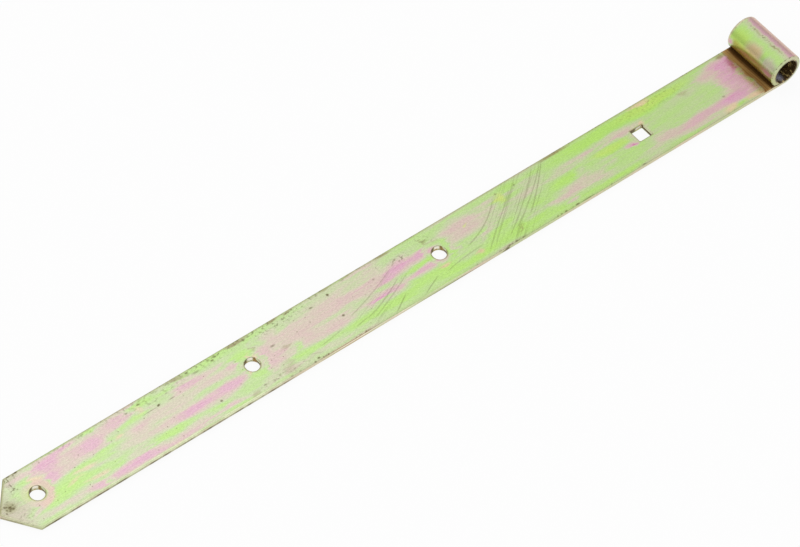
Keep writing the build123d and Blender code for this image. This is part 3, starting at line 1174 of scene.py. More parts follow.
@dataclass(frozen=True)
class EdgeWear:
    """Worn rims, tanned sides, a rough stretch of the near side and the eye's nicked ends, with painted
    highlights along some rims and painted shade on the lips of the holes.
    """

    worn_rim: Span = Span(1.8, 0.4)
    worn_side: Span = Span(-9.0, 3.0, 0.2, 0.6)
    worn_tip: Span = Span(-470.0, -476.0, 0.0, 0.8)
    worn_tip_side: Span = Span(-4.0, 2.0, 0.1, 1.0)
    tan_grain: Grain = Grain(30, 30)
    tan_change: Span = Span(0.4, 0.6)
    tan_cover: float = 0.85
    rough_reach: Span = Span(-316.0, -336.0)
    rough_side: Span = Span(2.0, -1.0)
    # The pale rim is a painted highlight on the rounded edge
    pale_rim: Span = Span(1.1, 0.5, 0.0, 0.8)
    pale_grain: Grain = Grain(9, 60, 3)
    pale_breaks: Span = Span(0.38, 0.62, 0.35, 1.0)
    pale_reach: Span = Span(-474.0, -470.0, 0.5, 1.0)
    foot_depth: Span = Span(0.8, 1.5)
    foot_grain: Grain = Grain(7, 60, 3)
    foot_breaks: Span = Span(0.35, 0.62, 0.4, 0.9)
    foot_reach: Span = Span(-480.0, -474.0, 0.6, 1.0)
    dash_grain: Grain = Grain(1.7, 60, 4)
    dash_breaks: Span = Span(0.46, 0.64)
    dash_groups: Grain = Grain(16, 60)
    dash_group_breaks: Span = Span(0.46, 0.66, 0.0, 0.8)
    dash_rim: Span = Span(0.9, 0.5)
    dash_off_side: Span = Span(0.9, 0.3)
    lip_shade_cover: float = 0.55
    far_rim: Span = Span(15.8, 16.8, 0.0, 0.7)
    end_face: Span = Span(17.1, 17.5, 0.0, 0.8)
    nick_rim: Span = Span(9.0, 9.5)
    nick_grain: Grain = Grain(1.6, 60, 3)
    nick_breaks: Span = Span(0.44, 0.6)

    def over(self, bar: BarMap, colour: Socket) -> Socket:
        """Wears the bar's edges and the eye's ends, paints shade on the lips of its holes and paints
        highlights along some rims.

        Args:
            bar: The bar's flat map.
            colour: The colour so far.

        Returns:
            The worn colour.
        """
        web = bar.web
        reach = web.times(web.between(bar.x, self.rough_reach), web.between(bar.y, self.rough_side))
        rough = web.times(reach, bar.flat)
        colour = self.rubbed(bar, colour)
        colour = self.roughened(bar, colour, rough)
        colour = self.dashed(bar, colour, rough)
        # The brown on the lips of the holes is painted shade
        colour = web.blend(web.times(bar.on_lip, bar.above, self.lip_shade_cover), colour, Hue.BROWN.value)
        # The cream, pale and glint marks along the rims are painted highlights
        for rim in RIMS:
            colour = web.blend(bar.oval(rim, bar.surface), colour, rim.hue.value)
        return self.eye_ended(bar, colour)

    def rubbed(self, bar: BarMap, colour: Socket) -> Socket:
        """Rubs the upper rims olive and tans the sides.

        Args:
            bar: The bar's flat map.
            colour: The colour so far.

        Returns:
            The rubbed colour.
        """
        web = bar.web
        at_tip = web.times(web.between(bar.x, self.worn_tip), web.between(bar.y, self.worn_tip_side))
        worn = web.most(web.between(bar.y, self.worn_side), at_tip)
        worn = web.times(web.between(bar.to_edge, self.worn_rim), worn, bar.above)
        colour = web.blend(worn, colour, Hue.OLIVE.value)
        tan = web.blend(bar.streaks(self.tan_grain, self.tan_change), Hue.TAN.value, Hue.ROSE.value)
        return web.blend(web.times(bar.on_side, self.tan_cover), colour, tan)

    def roughened(self, bar: BarMap, colour: Socket, rough: Socket) -> Socket:
        """Gives the rough stretch of the near side its broken pale rim, a painted highlight on the rounded
        edge, and its dark foot.

        Args:
            bar: The bar's flat map.
            colour: The colour so far.
            rough: Where the stretch is.

        Returns:
            The roughened colour.
        """
        web = bar.web
        # The broken pale rim is a painted highlight on the rounded edge
        rim = web.times(rough, web.between(bar.to_edge, self.pale_rim))
        rim = web.times(rim, bar.streaks(self.pale_grain, self.pale_breaks))
        rim = web.times(rim, web.between(bar.x, self.pale_reach))
        colour = web.blend(rim, colour, Hue.PALE.value)
        foot = web.times(rough, bar.on_side, web.between(bar.depth, self.foot_depth))
        foot = web.times(foot, bar.streaks(self.foot_grain, self.foot_breaks))
        foot = web.times(foot, web.between(bar.x, self.foot_reach))
        return web.blend(foot, colour, Hue.DARK.value)

    def dashed(self, bar: BarMap, colour: Socket, rough: Socket) -> Socket:
        """Breaks the upper rims with short dark dashes, outside the rough stretch.

        Args:
            bar: The bar's flat map.
            colour: The colour so far.
            rough: Where the stretch is.

        Returns:
            The dashed colour.
        """
        web = bar.web
        groups = bar.streaks(self.dash_groups, self.dash_group_breaks)
        dashes = web.times(bar.streaks(self.dash_grain, self.dash_breaks), groups)
        dashes = web.times(dashes, web.between(bar.to_edge, self.dash_rim))
        dashes = web.times(dashes, web.between(bar.on_side, self.dash_off_side))
        dashes = web.times(dashes, web.math("SUBTRACT", bar.flat, rough))
        return web.blend(dashes, colour, Hue.DARK.value)

    def eye_ended(self, bar: BarMap, colour: Socket) -> Socket:
        """Bares the eye's ends and nicks their rims.

        Args:
            bar: The bar's flat map.
            colour: The colour so far.

        Returns:
            The colour with the ends.
        """
        web = bar.web
        colour = web.blend(web.times(bar.on_eye, web.between(bar.y, self.far_rim)), colour, Hue.ROSE.value)
        face = web.times(bar.on_eye, web.between(bar.across, self.end_face))
        colour = web.blend(face, colour, Hue.CREAM.value)
        nicks = web.times(face, web.between(bar.from_pin, self.nick_rim))
        nicks = web.times(nicks, bar.streaks(self.nick_grain, self.nick_breaks))
        return web.blend(nicks, colour, Hue.DARK.value)


@dataclass(frozen=True)
class CreviceBandAndShade:
    """A brown streaked band on the strap where the eye seats, with painted shade in the crevice and low on
    the eye, and a painted reflection of the strap on the eye's lower side.
    """

    grain: Grain = Grain(0.8, 30)
    change: Span = Span(0.36, 0.64)
    # Where the strap's reflection is painted low on the eye
    flank: Span = Span(5.5, 2.0, 0.0, 0.85)
    flank_near: Span = Span(-13.0, -7.0, 0.35, 1.0)
    flank_far: Span = Span(15.0, 12.0)
    # Where shade is painted on the strap and low on the eye
    shade: Span = Span(-10.2, -8.8)
    tail: Span = Span(-2.4, -3.6)
    tail_sides: Span = Span(17.2, 16.8)

    def over(self, bar: BarMap, colour: Socket) -> Socket:
        """Browns the strap where the eye seats, streaked along the crevice, paints the strap's reflection
        low on the eye and paints shade in the crevice and under the eye.

        Args:
            bar: The bar's flat map.
            colour: The colour so far.

        Returns:
            The browned colour.
        """
        web = bar.web
        brown = web.blend(bar.streaks(self.grain, self.change), Hue.BRONZE.value, Hue.OCHRE.value)
        colour = web.blend(bar.in_crevice, colour, brown)
        flank = web.times(web.between(bar.along, self.flank.moved(EYE_START)), bar.on_eye)
        flank = web.times(flank, web.between(bar.y, self.flank_near), web.between(bar.y, self.flank_far))
        # Painted reflection of the brown strap low on the eye
        colour = web.blend(flank, colour, Hue.MOSS.value)
        # Painted shade on the strap next to the crevice
        colour = web.blend(web.times(web.between(bar.x, self.shade), bar.above), colour, Hue.SHADE.value)
        # Painted shade low on the eye, above the crevice
        tail = web.times(web.between(bar.along, self.tail.moved(EYE_START)), bar.on_eye)
        return web.blend(web.times(tail, web.between(bar.across, self.tail_sides)), colour, Hue.SOOT.value)


@dataclass(frozen=True)
class ShadedWallsAndBore:
    """The torn walls of the holes, with painted highlights and shade by their place aslant and their depth,
    and the inside of the eye, darkened as painted shade.
    """

    torn_grain: Grain = Grain(1.6, 1.6, 3)
    torn_change: Span = Span(0.4, 0.6)
    # From the half of each wall that keeps its colour to the half with painted shade
    half: Span = Span(-0.6, 0.6)
    lip: Span = Span(0.6, 0.35, 0.0, 0.7)
    left: Span = Span(-2.8, -3.6, 0.0, 0.85)
    right: Span = Span(1.6, 2.8)
    square_end: Span = Span(3.8, 4.1)
    deep: Span = Span(0.9, 1.5)
    deep_side: Span = Span(1.4, 0.6)
    shade_cover: float = 0.95
    bore_grain: Grain = Grain(2, 3, 3)
    bore_change: Span = Span(0.56, 0.62)

    def over(self, bar: BarMap, colour: Socket) -> Socket:
        """Paints highlights and shade on the walls of the holes and paints shade inside the eye.

        Args:
            bar: The bar's flat map.
            colour: The colour so far.

        Returns:
            The darkened colour.
        """
        web = bar.web
        colour = web.blend(bar.in_hole, colour, self.walls(bar))
        # The dark inside of the eye is painted shade
        bore = bar.streaks(self.bore_grain, self.bore_change)
        bore = web.blend(bore, Hue.UMBER.value, Hue.GOLD.value)
        bore = web.blend(bar.oval(INNER_SLATE, bar.level), bore, INNER_SLATE.hue.value)
        return web.blend(bar.in_bore, colour, bore)

    def walls(self, bar: BarMap) -> Socket:
        """Colours the walls of the holes, with painted highlights and painted shade.

        Args:
            bar: The bar's flat map.

        Returns:
            The walls' colour.
        """
        web = bar.web
        torn = bar.streaks(self.torn_grain, self.torn_change)
        wall = web.blend(torn, Hue.GOLD.value, Hue.CREAM.value)
        shaded_half = web.blend(torn, Hue.BROWN.value, Hue.OCHRE.value)
        # Painted shade on the half of each wall further aslant
        wall = web.blend(web.between(bar.aslant, self.half), wall, shaded_half)
        # The glint is a painted highlight
        wall = web.blend(bar.glint, wall, Hue.GLINT.value)
        # Painted shade on the lip and at the left end of each wall
        dark = web.most(web.between(bar.depth, self.lip), web.between(bar.aslant, self.left))
        wall = web.blend(dark, wall, Hue.UMBER.value)
        # A painted highlight on the square hole's end towards the eye
        square_end = web.between(bar.onward, self.square_end)
        wall = web.blend(square_end, wall, Hue.PALE.value)
        # Painted shade deep on the right of each wall and on the square hole's end
        right = web.most(web.between(bar.aslant, self.right), square_end)
        deep = web.most(web.between(bar.depth, self.deep), web.between(bar.aslant, self.deep_side))
        return web.blend(web.times(right, deep, self.shade_cover), wall, Hue.SHADE.value)


@dataclass(frozen=True)
class Marking:
    """Scratches, pits and scattered specks and smuts."""

    speck_spacing: float = 3.0
    speck_size: float = 0.13
    speck_share: float = 0.16
    speck_reach: Span = Span(-180.0, -330.0, 0.1, 0.45)
    smut_grain: Grain = Grain(1.9, 1.5, 4)
    smut_change: Span = Span(0.52, 0.63)
    line_cover: float = 0.9

    def strength(self, bar: BarMap) -> Socket:
        """Gathers the marks.

        Args:
            bar: The bar's flat map.

        Returns:
            How dark a mark is at each place, from 0 to 1.
        """
        web = bar.web
        pits = web.most(*(bar.oval(pit, bar.surface) for pit in PITS))
        soil = web.most(*(bar.oval(area, bar.surface) for area in SOILED))
        smuts = web.times(soil, bar.streaks(self.smut_grain, self.smut_change))
        specks = bar.specks(self.speck_spacing, self.speck_size, self.speck_share)
        specks = web.times(specks, web.between(bar.x, self.speck_reach))
        scratches = [bar.line(scratch) for scratch in SCRATCHES]
        lines = web.most(*scratches, *(bar.scores(area) for area in SCORED))
        return web.most(pits, smuts, specks, web.times(lines, bar.above, self.line_cover))


@dataclass(frozen=True)
class ZincFinish:
    """Iridescent yellow chromate on zinc plate, streaked along the bar, pitted and worn at the edges, with
    some highlights, reflections and shade painted into its colour.
    """

    film: Film = Film()
    staining: Staining = Staining()
    edges: EdgeWear = EdgeWear()
    crevice: CreviceBandAndShade = CreviceBandAndShade()
    walls: ShadedWallsAndBore = ShadedWallsAndBore()
    marking: Marking = Marking()
    steel_grain: Grain = Grain(1.2, 0.7, 3)
    steel_light: Span = Span(0.25, 0.75, 0.9, 1.1)
    smooth_end: Span = Span(-140.0, -40.0, 0.0, 0.4)
    dull_grain: Grain = Grain(9, 3, 3)
    roughness: Span = Span(0.3, 0.7, 0.2, 0.34)
    worn_roughness: float = 0.55
    worn_metal: float = 0.5
    dirty_metal: float = 0.35
    relief_grain: Grain = Grain(2.5, 0.8, 3)
    relief_height: float = 0.6
    relief_strength: float = 0.35
    relief: float = 0.05 * MM
    glint_lift: float = 1.5

    def material(self, strap: "HingeStrap") -> bpy.types.Material:
        """Makes the finish for a strap.

        Args:
            strap: The strap that wears it, whose sizes place the marks.

        Returns:
            The material.
        """
        material = bpy.data.materials.new(SLOT)
        material.use_nodes = True
        web = NodeWeb(material.node_tree)
        bar = BarMap(web, strap)
        marks = self.marking.strength(bar)
        colour = web.ramp(self.film.tone(bar, strap), {tone.value: TONE_COLOURS[tone] for tone in Tone})
        colour = self.staining.over(bar, colour, strap)
        colour = self.edges.over(bar, colour)
        colour = self.crevice.over(bar, colour)
        colour = self.walls.over(bar, colour)
        worn_metal = web.mix(web.most(marks, bar.in_bore), 1.0, self.worn_metal)
        inputs = {
            "Base Color": web.blend(marks, self.grained(bar, colour), Hue.DARK.value),
            "Metallic": web.mix(bar.dirty, worn_metal, self.dirty_metal),
            "Roughness": self.dulled(bar, marks),
            "Normal": self.bumped(bar, marks),
        }
        shader = web.add("ShaderNodeBsdfPrincipled", inputs)
        web.add("ShaderNodeOutputMaterial", {"Surface": shader.outputs[0]})
        return material

    def grained(self, bar: BarMap, colour: Socket) -> Socket:
        """Adds the fine grain of the rolled steel under the film, less so near the eye."""
        light = bar.streaks(self.steel_grain, self.steel_light)
        return bar.web.scaled(colour, bar.web.mix(bar.web.between(bar.x, self.smooth_end), light, 1.0))

    def dulled(self, bar: BarMap, marks: Socket) -> Socket:
        """Roughens the film in patches and in the marks, and returns the roughness."""
        patchy = bar.streaks(self.dull_grain, self.roughness)
        return bar.web.mix(bar.web.most(marks, bar.dirty), patchy, self.worn_roughness)

    def bumped(self, bar: BarMap, marks: Socket) -> Socket:
        """Sinks the marks, raises the grain and tilts the glints up.

        Args:
            bar: The bar's flat map.
            marks: How dark a mark is at each place.

        Returns:
            The surface's normal.
        """
        web = bar.web
        grain = web.times(web.noise(bar.surface, self.relief_grain).outputs["Fac"], self.relief_height)
        height = web.math("SUBTRACT", grain, marks)
        inputs = {"Height": height, "Strength": self.relief_strength, "Distance": self.relief}
        normal = web.add("ShaderNodeBump", inputs).outputs[0]
        settings = {"vector_type": "NORMAL", "convert_from": "OBJECT", "convert_to": "WORLD"}
        upward = web.add("ShaderNodeVectorTransform", {"Vector": UPWARD}, **settings).outputs[0]
        lift = web.scaled(upward, web.times(bar.glint, self.glint_lift))
        return web.vector("NORMALIZE", web.vector("ADD", normal, lift))


@dataclass(frozen=True)
class FloorFinish:
    """Plain white floor that keeps a faint shadow."""

    colour: Colour = (0.9, 0.9, 0.9)
    glow: float = 0.9

    def material(self) -> bpy.types.Material:
        """Makes the floor's material.

        Returns:
            The material, which the eye and mirrors see as white.
        """
        material = bpy.data.materials.new("floor")
        material.use_nodes = True
        web = NodeWeb(material.node_tree)
        rays = web.add("ShaderNodeLightPath").outputs
        seen = web.most(rays["Is Camera Ray"], rays["Is Glossy Ray"], rays["Is Transmission Ray"])
        matt = web.add("ShaderNodeBsdfDiffuse", {"Color": (*self.colour, 1.0)}).outputs[0]
        white = web.add("ShaderNodeEmission", {"Color": (*WHITE, 1.0), "Strength": 1.0}).outputs[0]
        inputs = {0: web.times(seen, self.glow), 1: matt, 2: white}
        mixed = web.add("ShaderNodeMixShader", inputs).outputs[0]
        web.add("ShaderNodeOutputMaterial", {"Surface": mixed})
        return material


class Bench:
    """A mesh object on the bench and the hand operations that shape it."""

    def __init__(self, thing: bpy.types.Object) -> None:
        """Takes a new object, which is the active one."""
        self.thing = thing

    @classmethod
    def block(cls, name: str, low: Vector, high: Vector) -> "Bench":
        """Adds a block between two corners.

        Args:
            name: The object's name.
            low: Its lowest corner.
            high: Its highest corner.

        Returns:
            The bench that holds it.
        """
        bpy.ops.object.select_all(action="DESELECT")
        bpy.ops.mesh.primitive_cube_add(size=1.0, location=(low + high) / 2, scale=high - low)
        return cls.settle(name)

    @classmethod
    def disc(cls, name: str, centre: Vector, radius: float, depth: float, sides: int) -> "Bench":
        """Adds an upright round bar.

        Args:
            name: The object's name.
            centre: Its middle.
            radius: Its radius.
            depth: Its height.
            sides: How many sides its circle has.

        Returns:
            The bench that holds it.
        """
        bpy.ops.object.select_all(action="DESELECT")
        bpy.ops.mesh.primitive_cylinder_add(vertices=sides, radius=radius, depth=depth, location=centre)
        return cls.settle(name)

    @classmethod
    def settle(cls, name: str) -> "Bench":
        """Names the new primitive and puts its place and size into its mesh.

        Args:
            name: The object's name.

        Returns:
            The bench that holds it.
        """
        thing = bpy.context.active_object
        thing.name = thing.data.name = name
        bpy.ops.object.transform_apply(location=True, rotation=True, scale=True)
        return cls(thing)

    def activate(self) -> None:
        """Makes the object the only one selected and the active one."""
        bpy.ops.object.select_all(action="DESELECT")
        self.thing.select_set(True)
        bpy.context.view_layer.objects.active = self.thing

    @contextmanager
    def edit(self) -> Iterator[None]:
        """Opens the mesh in edit mode, with nothing selected, and closes it again.

        Yields:
            Nothing, while the mesh is open.
        """
        self.activate()
        bpy.ops.object.mode_set(mode="EDIT")
        bpy.ops.mesh.select_all(action="DESELECT")
        yield
        bpy.ops.object.mode_set(mode="OBJECT")

    def pick_faces(self, test: Callable[[Vector, Vector], bool]) -> None:
        """Selects some faces in edit mode.

        Args:
            test: Tells by a face's middle and normal whether it is selected.
        """
        bpy.ops.mesh.select_mode(type="FACE")
        bpy.ops.mesh.select_all(action="DESELECT")
        mesh = bmesh.from_edit_mesh(self.thing.data)
        mesh.normal_update()
        for face in mesh.faces:
            face.select_set(test(face.calc_center_median(), face.normal))
        bmesh.update_edit_mesh(self.thing.data)

    def pick_edges(self, test: Callable[[Vector, Vector, float], bool]) -> None:
        """Selects some edges in edit mode.

        Args:
            test: Tells by an edge's two ends and fold, in degrees, whether it is selected.
        """
        bpy.ops.mesh.select_mode(type="EDGE")
        bpy.ops.mesh.select_all(action="DESELECT")
        mesh = bmesh.from_edit_mesh(self.thing.data)
        mesh.normal_update()
        for edge in mesh.edges:
            fold = math.degrees(edge.calc_face_angle(0.0))
            edge.select_set(test(edge.verts[0].co, edge.verts[1].co, fold))
        bmesh.update_edit_mesh(self.thing.data)

    def extrude(self, move: Vector) -> None:
        """Extrudes what is selected in edit mode by a move."""
        bpy.ops.mesh.extrude_region_move(TRANSFORM_OT_translate={"value": move})

    def shear(self, point: Vector, outward: Vector) -> None:
        """Cuts what is selected in edit mode by a plane and closes the cut.

        Args:
            point: A point of the plane.
            outward: The plane's normal, towards the side that is cut off.
        """
        settings = {"use_fill": True, "clear_outer": True, "threshold": CUT}
        bpy.ops.mesh.bisect(plane_co=point, plane_no=outward, **settings)

    def bevel(self, radius: float, steps: int, **settings: Any) -> None:
        """Rounds the edges that are selected in edit mode."""
        bpy.ops.mesh.bevel(offset=radius, segments=steps, profile=ROUND, **settings)

    def merge(self) -> None:
        """Merges doubled points in edit mode and turns the faces outward."""
        bpy.ops.mesh.select_all(action="SELECT")
        bpy.ops.mesh.remove_doubles(threshold=MERGE)
        bpy.ops.mesh.normals_make_consistent(inside=False)

    def apply(self, kind: str, **settings: Any) -> None:
        """Adds a modifier and applies it.

        Args:
            kind: The modifier's type.
            **settings: Its properties.
        """
        self.activate()
        modifier = self.thing.modifiers.new(kind.lower(), kind)
        for name, setting in settings.items():
            setattr(modifier, name, setting)
        bpy.ops.object.modifier_apply(modifier=modifier.name)

    def cut(self, cutter: "Bench") -> None:
        """Takes a cutter's shape out of the piece and clears the cutter away.

        Args:
            cutter: The bench that holds the cutter.
        """
        self.apply("BOOLEAN", object=cutter.thing, operation="DIFFERENCE", solver="EXACT")
        mesh = cutter.thing.data
        bpy.data.objects.remove(cutter.thing)
        bpy.data.meshes.remove(mesh)


@dataclass
class HingeStrap:
    """The plated bar with its point, its punched holes and its rolled eye, in metres."""

    low: Vector
    high: Vector
    mounts: dict[str, dict[str, Any]]
    finish: ZincFinish
    width: float = 35.0 * MM
    edge_radius: float = 0.6 * MM
    far_shoulder: float = 14.2 * MM
    near_shoulder: float = 12.5 * MM
    apex_offset: float = 0.6 * MM
    apex_rounding: float = 0.205 * MM
    flare_run: float = 8.0 * MM
    bore_flare: float = 0.53 * MM
    outer_draw_in: float = 0.1 * MM
    eye_wrap: float = math.radians(305.0)
    tail_gap: float = 0.2 * MM
    hole_rim: float = 0.4 * MM
    hole_break: float = 1.2 * MM
    hole_spread: float = 0.15 * MM
    hole_stretch: float = 1.17
    hole_drag: float = 0.7 * MM
    drag_heading: float = math.radians(65.0)
    square_side: float = 8.3 * MM
    square_corner: float = 0.6 * MM
    square_rim: float = 0.5 * MM
    rim_slack: float = 0.05 * MM
    smooth_fold: float = math.radians(35.0)
    eye_steps: int = 96
    hole_sides: int = 96
    edge_steps: int = 5
    corner_steps: int = 6
    eye_radius: float = field(init=False)
    bore_radius: float = field(init=False)
    underside: float = field(init=False)
    top: float = field(init=False)
    tip: float = field(init=False)

    def __post_init__(self) -> None:
        """Works out the sizes that the frame gives."""
        self.eye_radius = min(self.high.x, self.high.z, -self.low.z)
        self.bore_radius = self.mounts["eye_bore"]["dims"]["r_mm"] * MM
        self.underside = -self.eye_radius
        self.top = -self.bore_radius
        self.tip = self.low.x - self.apex_rounding

    def hole(self, name: str) -> Vector:
        """Gives the place of a hole."""
        return Vector(self.mounts[name]["pos_m"])

    def build(self) -> bpy.types.Object:
        """Models the strap.

        Returns:
            The finished mesh object.
        """
        bench = self.flat_bar()
        self.shear_point(bench)
        self.roll_eye(bench)
        self.round_edges(bench)
        for name in SCREW_HOLES:
            self.punch_round(bench, name)
        self.punch_square(bench)
        self.smooth(bench)
        return bench.thing

    def flat_bar(self) -> Bench:
        """Lays the flat bar from the tip to where the eye's roll begins.

        Returns:
            The bench that holds it.
        """
        half = self.width / 2
        low = Vector((self.tip, -half, self.underside))
        return Bench.block("plated_strap", low, Vector((-self.flare_run, half, self.top)))

    def point_normals(self) -> tuple[Vector, Vector]:
        """Works out how the point's two sheared ends face.

        Returns:
            The outward directions of the far end and the near one.
        """
        half = self.width / 2
        far = Vector((self.apex_offset - half, self.far_shoulder, 0.0))
        near = Vector((-half - self.apex_offset, -self.near_shoulder, 0.0))
        return far.normalized(), near.normalized()

    def shear_point(self, bench: Bench) -> None:
        """Shears the two slanted ends of the point.

        Args:
            bench: The bench that holds the strap.
        """
        for normal in self.point_normals():
            with bench.edit():
                bpy.ops.mesh.select_all(action="SELECT")
                bench.shear(Vector((self.tip, self.apex_offset, 0.0)), normal)

    def roll_eye(self, bench: Bench) -> None:
        """Rolls the end of the bar round the pin and seats its cut tail on the strap.

        Args:
            bench: The bench that holds the strap.
        """
        half = self.width / 2
        tail = Vector((math.cos(self.eye_wrap), 0.0, math.sin(self.eye_wrap))) * 2 * self.bore_radius
        with bench.edit():
            bench.pick_faces(lambda middle, normal: normal.x > FACING)
            bench.extrude(Vector((self.flare_run, 0.0, 0.0)))
            self.squeeze(bench, self.top, (half + self.bore_flare) / half)
            self.squeeze(bench, self.underside, (half - self.outer_draw_in) / half)
            bench.pick_faces(lambda middle, normal: abs(middle.x) < NEAR and normal.x > FACING)
            bpy.ops.mesh.spin(steps=self.eye_steps, angle=self.eye_wrap, center=ORIGIN, axis=(0, 1, 0))
            bench.extrude(tail)
            bpy.ops.mesh.select_more()
            bench.shear(Vector((0.0, 0.0, self.top + self.tail_gap)), -Vector(UPWARD))
            bench.merge()

    def squeeze(self, bench: Bench, height: float, share: float) -> None:
        """Widens or narrows, in edit mode, the edge where the roll begins.

        Args:
            bench: The bench that holds the strap.
            height: The edge's height.
            share: Its new width, as a share of the old one.
        """

        def on_edge(a: Vector, b: Vector, fold: float) -> bool:
            """Tells whether an edge lies there."""
            return all(abs(v.x) < NEAR and abs(v.z - height) < NEAR for v in (a, b))

        bench.pick_edges(on_edge)
        bpy.ops.transform.resize(value=(1.0, share, 1.0), center_override=(0.0, 0.0, height))

    def round_edges(self, bench: Bench) -> None:
        """Rounds the edges that rolling and shearing leave, except round the tail's seat.

        Args:
            bench: The bench that holds the strap.
        """
        seat = self.top + self.tail_gap

        def on_rim(a: Vector, b: Vector, fold: float) -> bool:
            """Tells whether an edge is sharp and off the seat."""
            return fold > SHARP and not all(abs(v.z - seat) < NEAR for v in (a, b))

        with bench.edit():
            bench.pick_edges(on_rim)
            bench.bevel(self.edge_radius, self.edge_steps, clamp_overlap=True)

    def punch_round(self, bench: Bench, name: str) -> None:
        """Punches a round hole and breaks its rims.

        Args:
            bench: The bench that holds the strap.
            name: The hole's name.
        """
        centre = self.hole(name)
        radius = self.mounts[name]["dims"]["r_mm"] * MM
        bench.cut(self.round_punch(name, centre, radius))
        reach = (radius + self.hole_spread) * self.hole_stretch + self.hole_drag
        self.roll_rim(bench, centre, reach, self.top, self.hole_rim)
        self.roll_rim(bench, centre, radius, self.underside, self.hole_break)

    def punch_square(self, bench: Bench) -> None:
        """Punches the square hole and rolls over its upper rim.

        Args:
            bench: The bench that holds the strap.
        """
        centre = self.hole(SQUARE_HOLE)
        half = self.square_side / 2
        reach = Vector((half, half, 2 * (self.top - self.underside)))
        punch = Bench.block("square_punch", centre - reach, centre + reach)
        with punch.edit():
            punch.pick_edges(lambda a, b, fold: abs(a.z - b.z) > self.square_side)
            punch.bevel(self.square_corner, self.corner_steps)
        bench.cut(punch)
        self.roll_rim(bench, centre, self.square_side / math.sqrt(2), self.top, self.square_rim)

    def round_punch(self, name: str, centre: Vector, radius: float) -> Bench:
        """Makes the punch of a round hole, which tears the hole wider on top and drags it to the far side.

        Args:
            name: The hole's name.
            centre: The hole's place.
            radius: The hole's radius below.

        Returns:
            The bench that holds the punch.
        """
        thickness = self.top - self.underside
        middle = Vector((centre.x, centre.y, (self.top + self.underside) / 2))
        punch = Bench.disc(name, middle, radius, thickness, self.hole_sides)
        heading = Vector((math.cos(self.drag_heading), math.sin(self.drag_heading), 0.0))
        spread = 1.0 + self.hole_spread / radius
        torn = Matrix.Scale(self.hole_stretch, 4, heading) @ Matrix.Diagonal((spread, spread, 1.0, 1.0))
        torn = Matrix.Translation(middle + heading * self.hole_drag) @ torn @ Matrix.Translation(-middle)
        with punch.edit():
            punch.pick_faces(lambda middle, normal: normal.z > FACING)
            mesh = bmesh.from_edit_mesh(punch.thing.data)
            upper = [vertex for vertex in mesh.verts if vertex.select]
            bmesh.ops.transform(mesh, matrix=torn, verts=upper)
            bmesh.update_edit_mesh(punch.thing.data)
            punch.extrude(Vector((0.0, 0.0, thickness)))
            punch.pick_faces(lambda middle, normal: normal.z < -FACING)
            punch.extrude(Vector((0.0, 0.0, -thickness)))
            bpy.ops.mesh.select_all(action="SELECT")
            bpy.ops.mesh.normals_make_consistent(inside=False)
        return punch

    def roll_rim(self, bench: Bench, centre: Vector, radius: float, height: float, rim: float) -> None:
        """Rounds a rim of a punched hole.

        Args:
            bench: The bench that holds the strap.
            centre: The hole's place.
            radius: How far its rim reaches from there.
            height: The height of the face that the rim lies in.
            rim: The radius of the rounding.
        """
        reach = radius + self.rim_slack

        def on_rim(a: Vector, b: Vector, fold: float) -> bool:
            """Tells whether an edge lies on the rim."""
            level = all(abs(v.z - height) < NEAR for v in (a, b))
            return fold > SHARP and level and all((v.xy - centre.xy).length < reach for v in (a, b))

        with bench.edit():
            bench.pick_edges(on_rim)
            bench.bevel(rim, self.edge_steps)

    def smooth(self, bench: Bench) -> None:
        """Smooths the rounded faces and keeps the flat ones flat.

        Args:
            bench: The bench that holds the strap.
        """
        with bench.edit():
            bench.merge()
        bpy.ops.object.shade_smooth_by_angle(angle=self.smooth_fold)
        bench.apply("WEIGHTED_NORMAL", keep_sharp=True)

    def dress(self, piece: bpy.types.Object) -> None:
        """Gives the strap its finish and joins it to the frame.

        Args:
            piece: The strap's mesh object.
        """
        piece.data.materials.clear()
        piece.data.materials.append(self.finish.material(self))
        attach(piece, BODY)
        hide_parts(NODE)


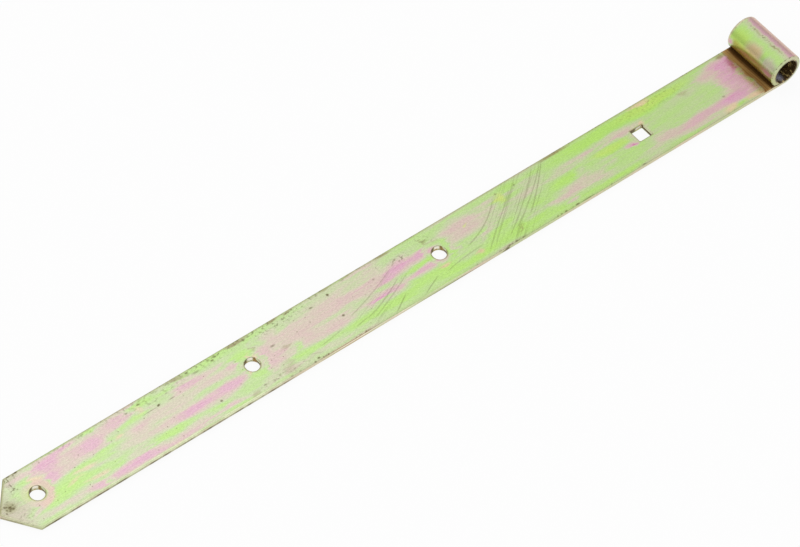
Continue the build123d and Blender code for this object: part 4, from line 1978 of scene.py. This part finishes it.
@dataclass
class Studio:
    """Floor, light and camera, in metres and degrees."""

    strap_foot: float
    floor_gap: float = 0.05 * MM
    floor_reach: float = 8.0
    floor_finish: FloorFinish = FloorFinish()
    sky: Span = Span(-0.1, 0.9, 0.6, 1.05)
    azimuth: float = -41.138
    elevation: float = 50.568
    roll: float = 3.147
    distance: float = 2.47846
    sight: float = 100.0
    lens: float = 221.94
    sensor: float = 36.0
    aim: tuple[float, float, float] = (-0.24167, 0.00168, -0.0069)

    def build(self) -> None:
        """Sets up the floor, the light and the camera."""
        self.floor()
        self.light()
        self.camera()

    def floor(self) -> None:
        """Lays the floor under the strap."""
        bpy.ops.object.select_all(action="DESELECT")
        height = self.strap_foot - self.floor_gap
        bpy.ops.mesh.primitive_plane_add(size=self.floor_reach, location=(0.0, 0.0, height))
        floor = bpy.context.active_object
        floor.name = "floor"
        bpy.ops.object.transform_apply(location=True, rotation=True, scale=True)
        floor.data.materials.append(self.floor_finish.material())

    def light(self) -> None:
        """Fills the room with soft white light, a little dimmer near the horizon."""
        world = bpy.data.worlds.new("studio")
        bpy.context.scene.world = world
        world.use_nodes = True
        web = NodeWeb(world.node_tree)
        height = web.axes(web.add("ShaderNodeTexCoord").outputs["Generated"])[2]
        rays = web.add("ShaderNodeLightPath").outputs
        strength = web.mix(rays["Is Camera Ray"], web.between(height, self.sky), 1.0)
        white = web.add("ShaderNodeBackground", {"Color": (*WHITE, 1.0), "Strength": strength}).outputs[0]
        web.add("ShaderNodeOutputWorld", {"Surface": white})

    def camera(self) -> None:
        """Stands the camera where the photograph was taken from."""
        turn = Matrix.Rotation(math.radians(self.azimuth), 4, "Z")
        tilt = Matrix.Rotation(math.radians(90.0 - self.elevation), 4, "X")
        roll = Matrix.Rotation(math.radians(self.roll), 4, "Z")
        back = Matrix.Translation((0.0, 0.0, self.distance))
        data = bpy.data.cameras.new("camera")
        data.lens = self.lens
        data.sensor_width = self.sensor
        data.clip_end = self.sight
        camera = bpy.data.objects.new("camera", data)
        bpy.context.scene.collection.objects.link(camera)
        camera.matrix_world = Matrix.Translation(self.aim) @ turn @ tilt @ roll @ back
        bpy.context.scene.camera = camera


def main() -> None:
    """Builds the strap and the studio in order and logs the strap's face count."""
    logging.basicConfig(level=logging.INFO, format="%(message)s")
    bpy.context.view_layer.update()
    low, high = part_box(NODE)
    mounts = {mount["name"]: mount for mount in frame["record"]["mounts"]}
    strap = HingeStrap(low, high, mounts, ZincFinish())
    piece = strap.build()
    strap.dress(piece)
    log.info("%s: %d faces", piece.name, len(piece.data.polygons))
    Studio(strap_foot=low.z).build()
    bpy.context.scene.view_settings.view_transform = "Standard"


if __name__ == "__main__":
    main()
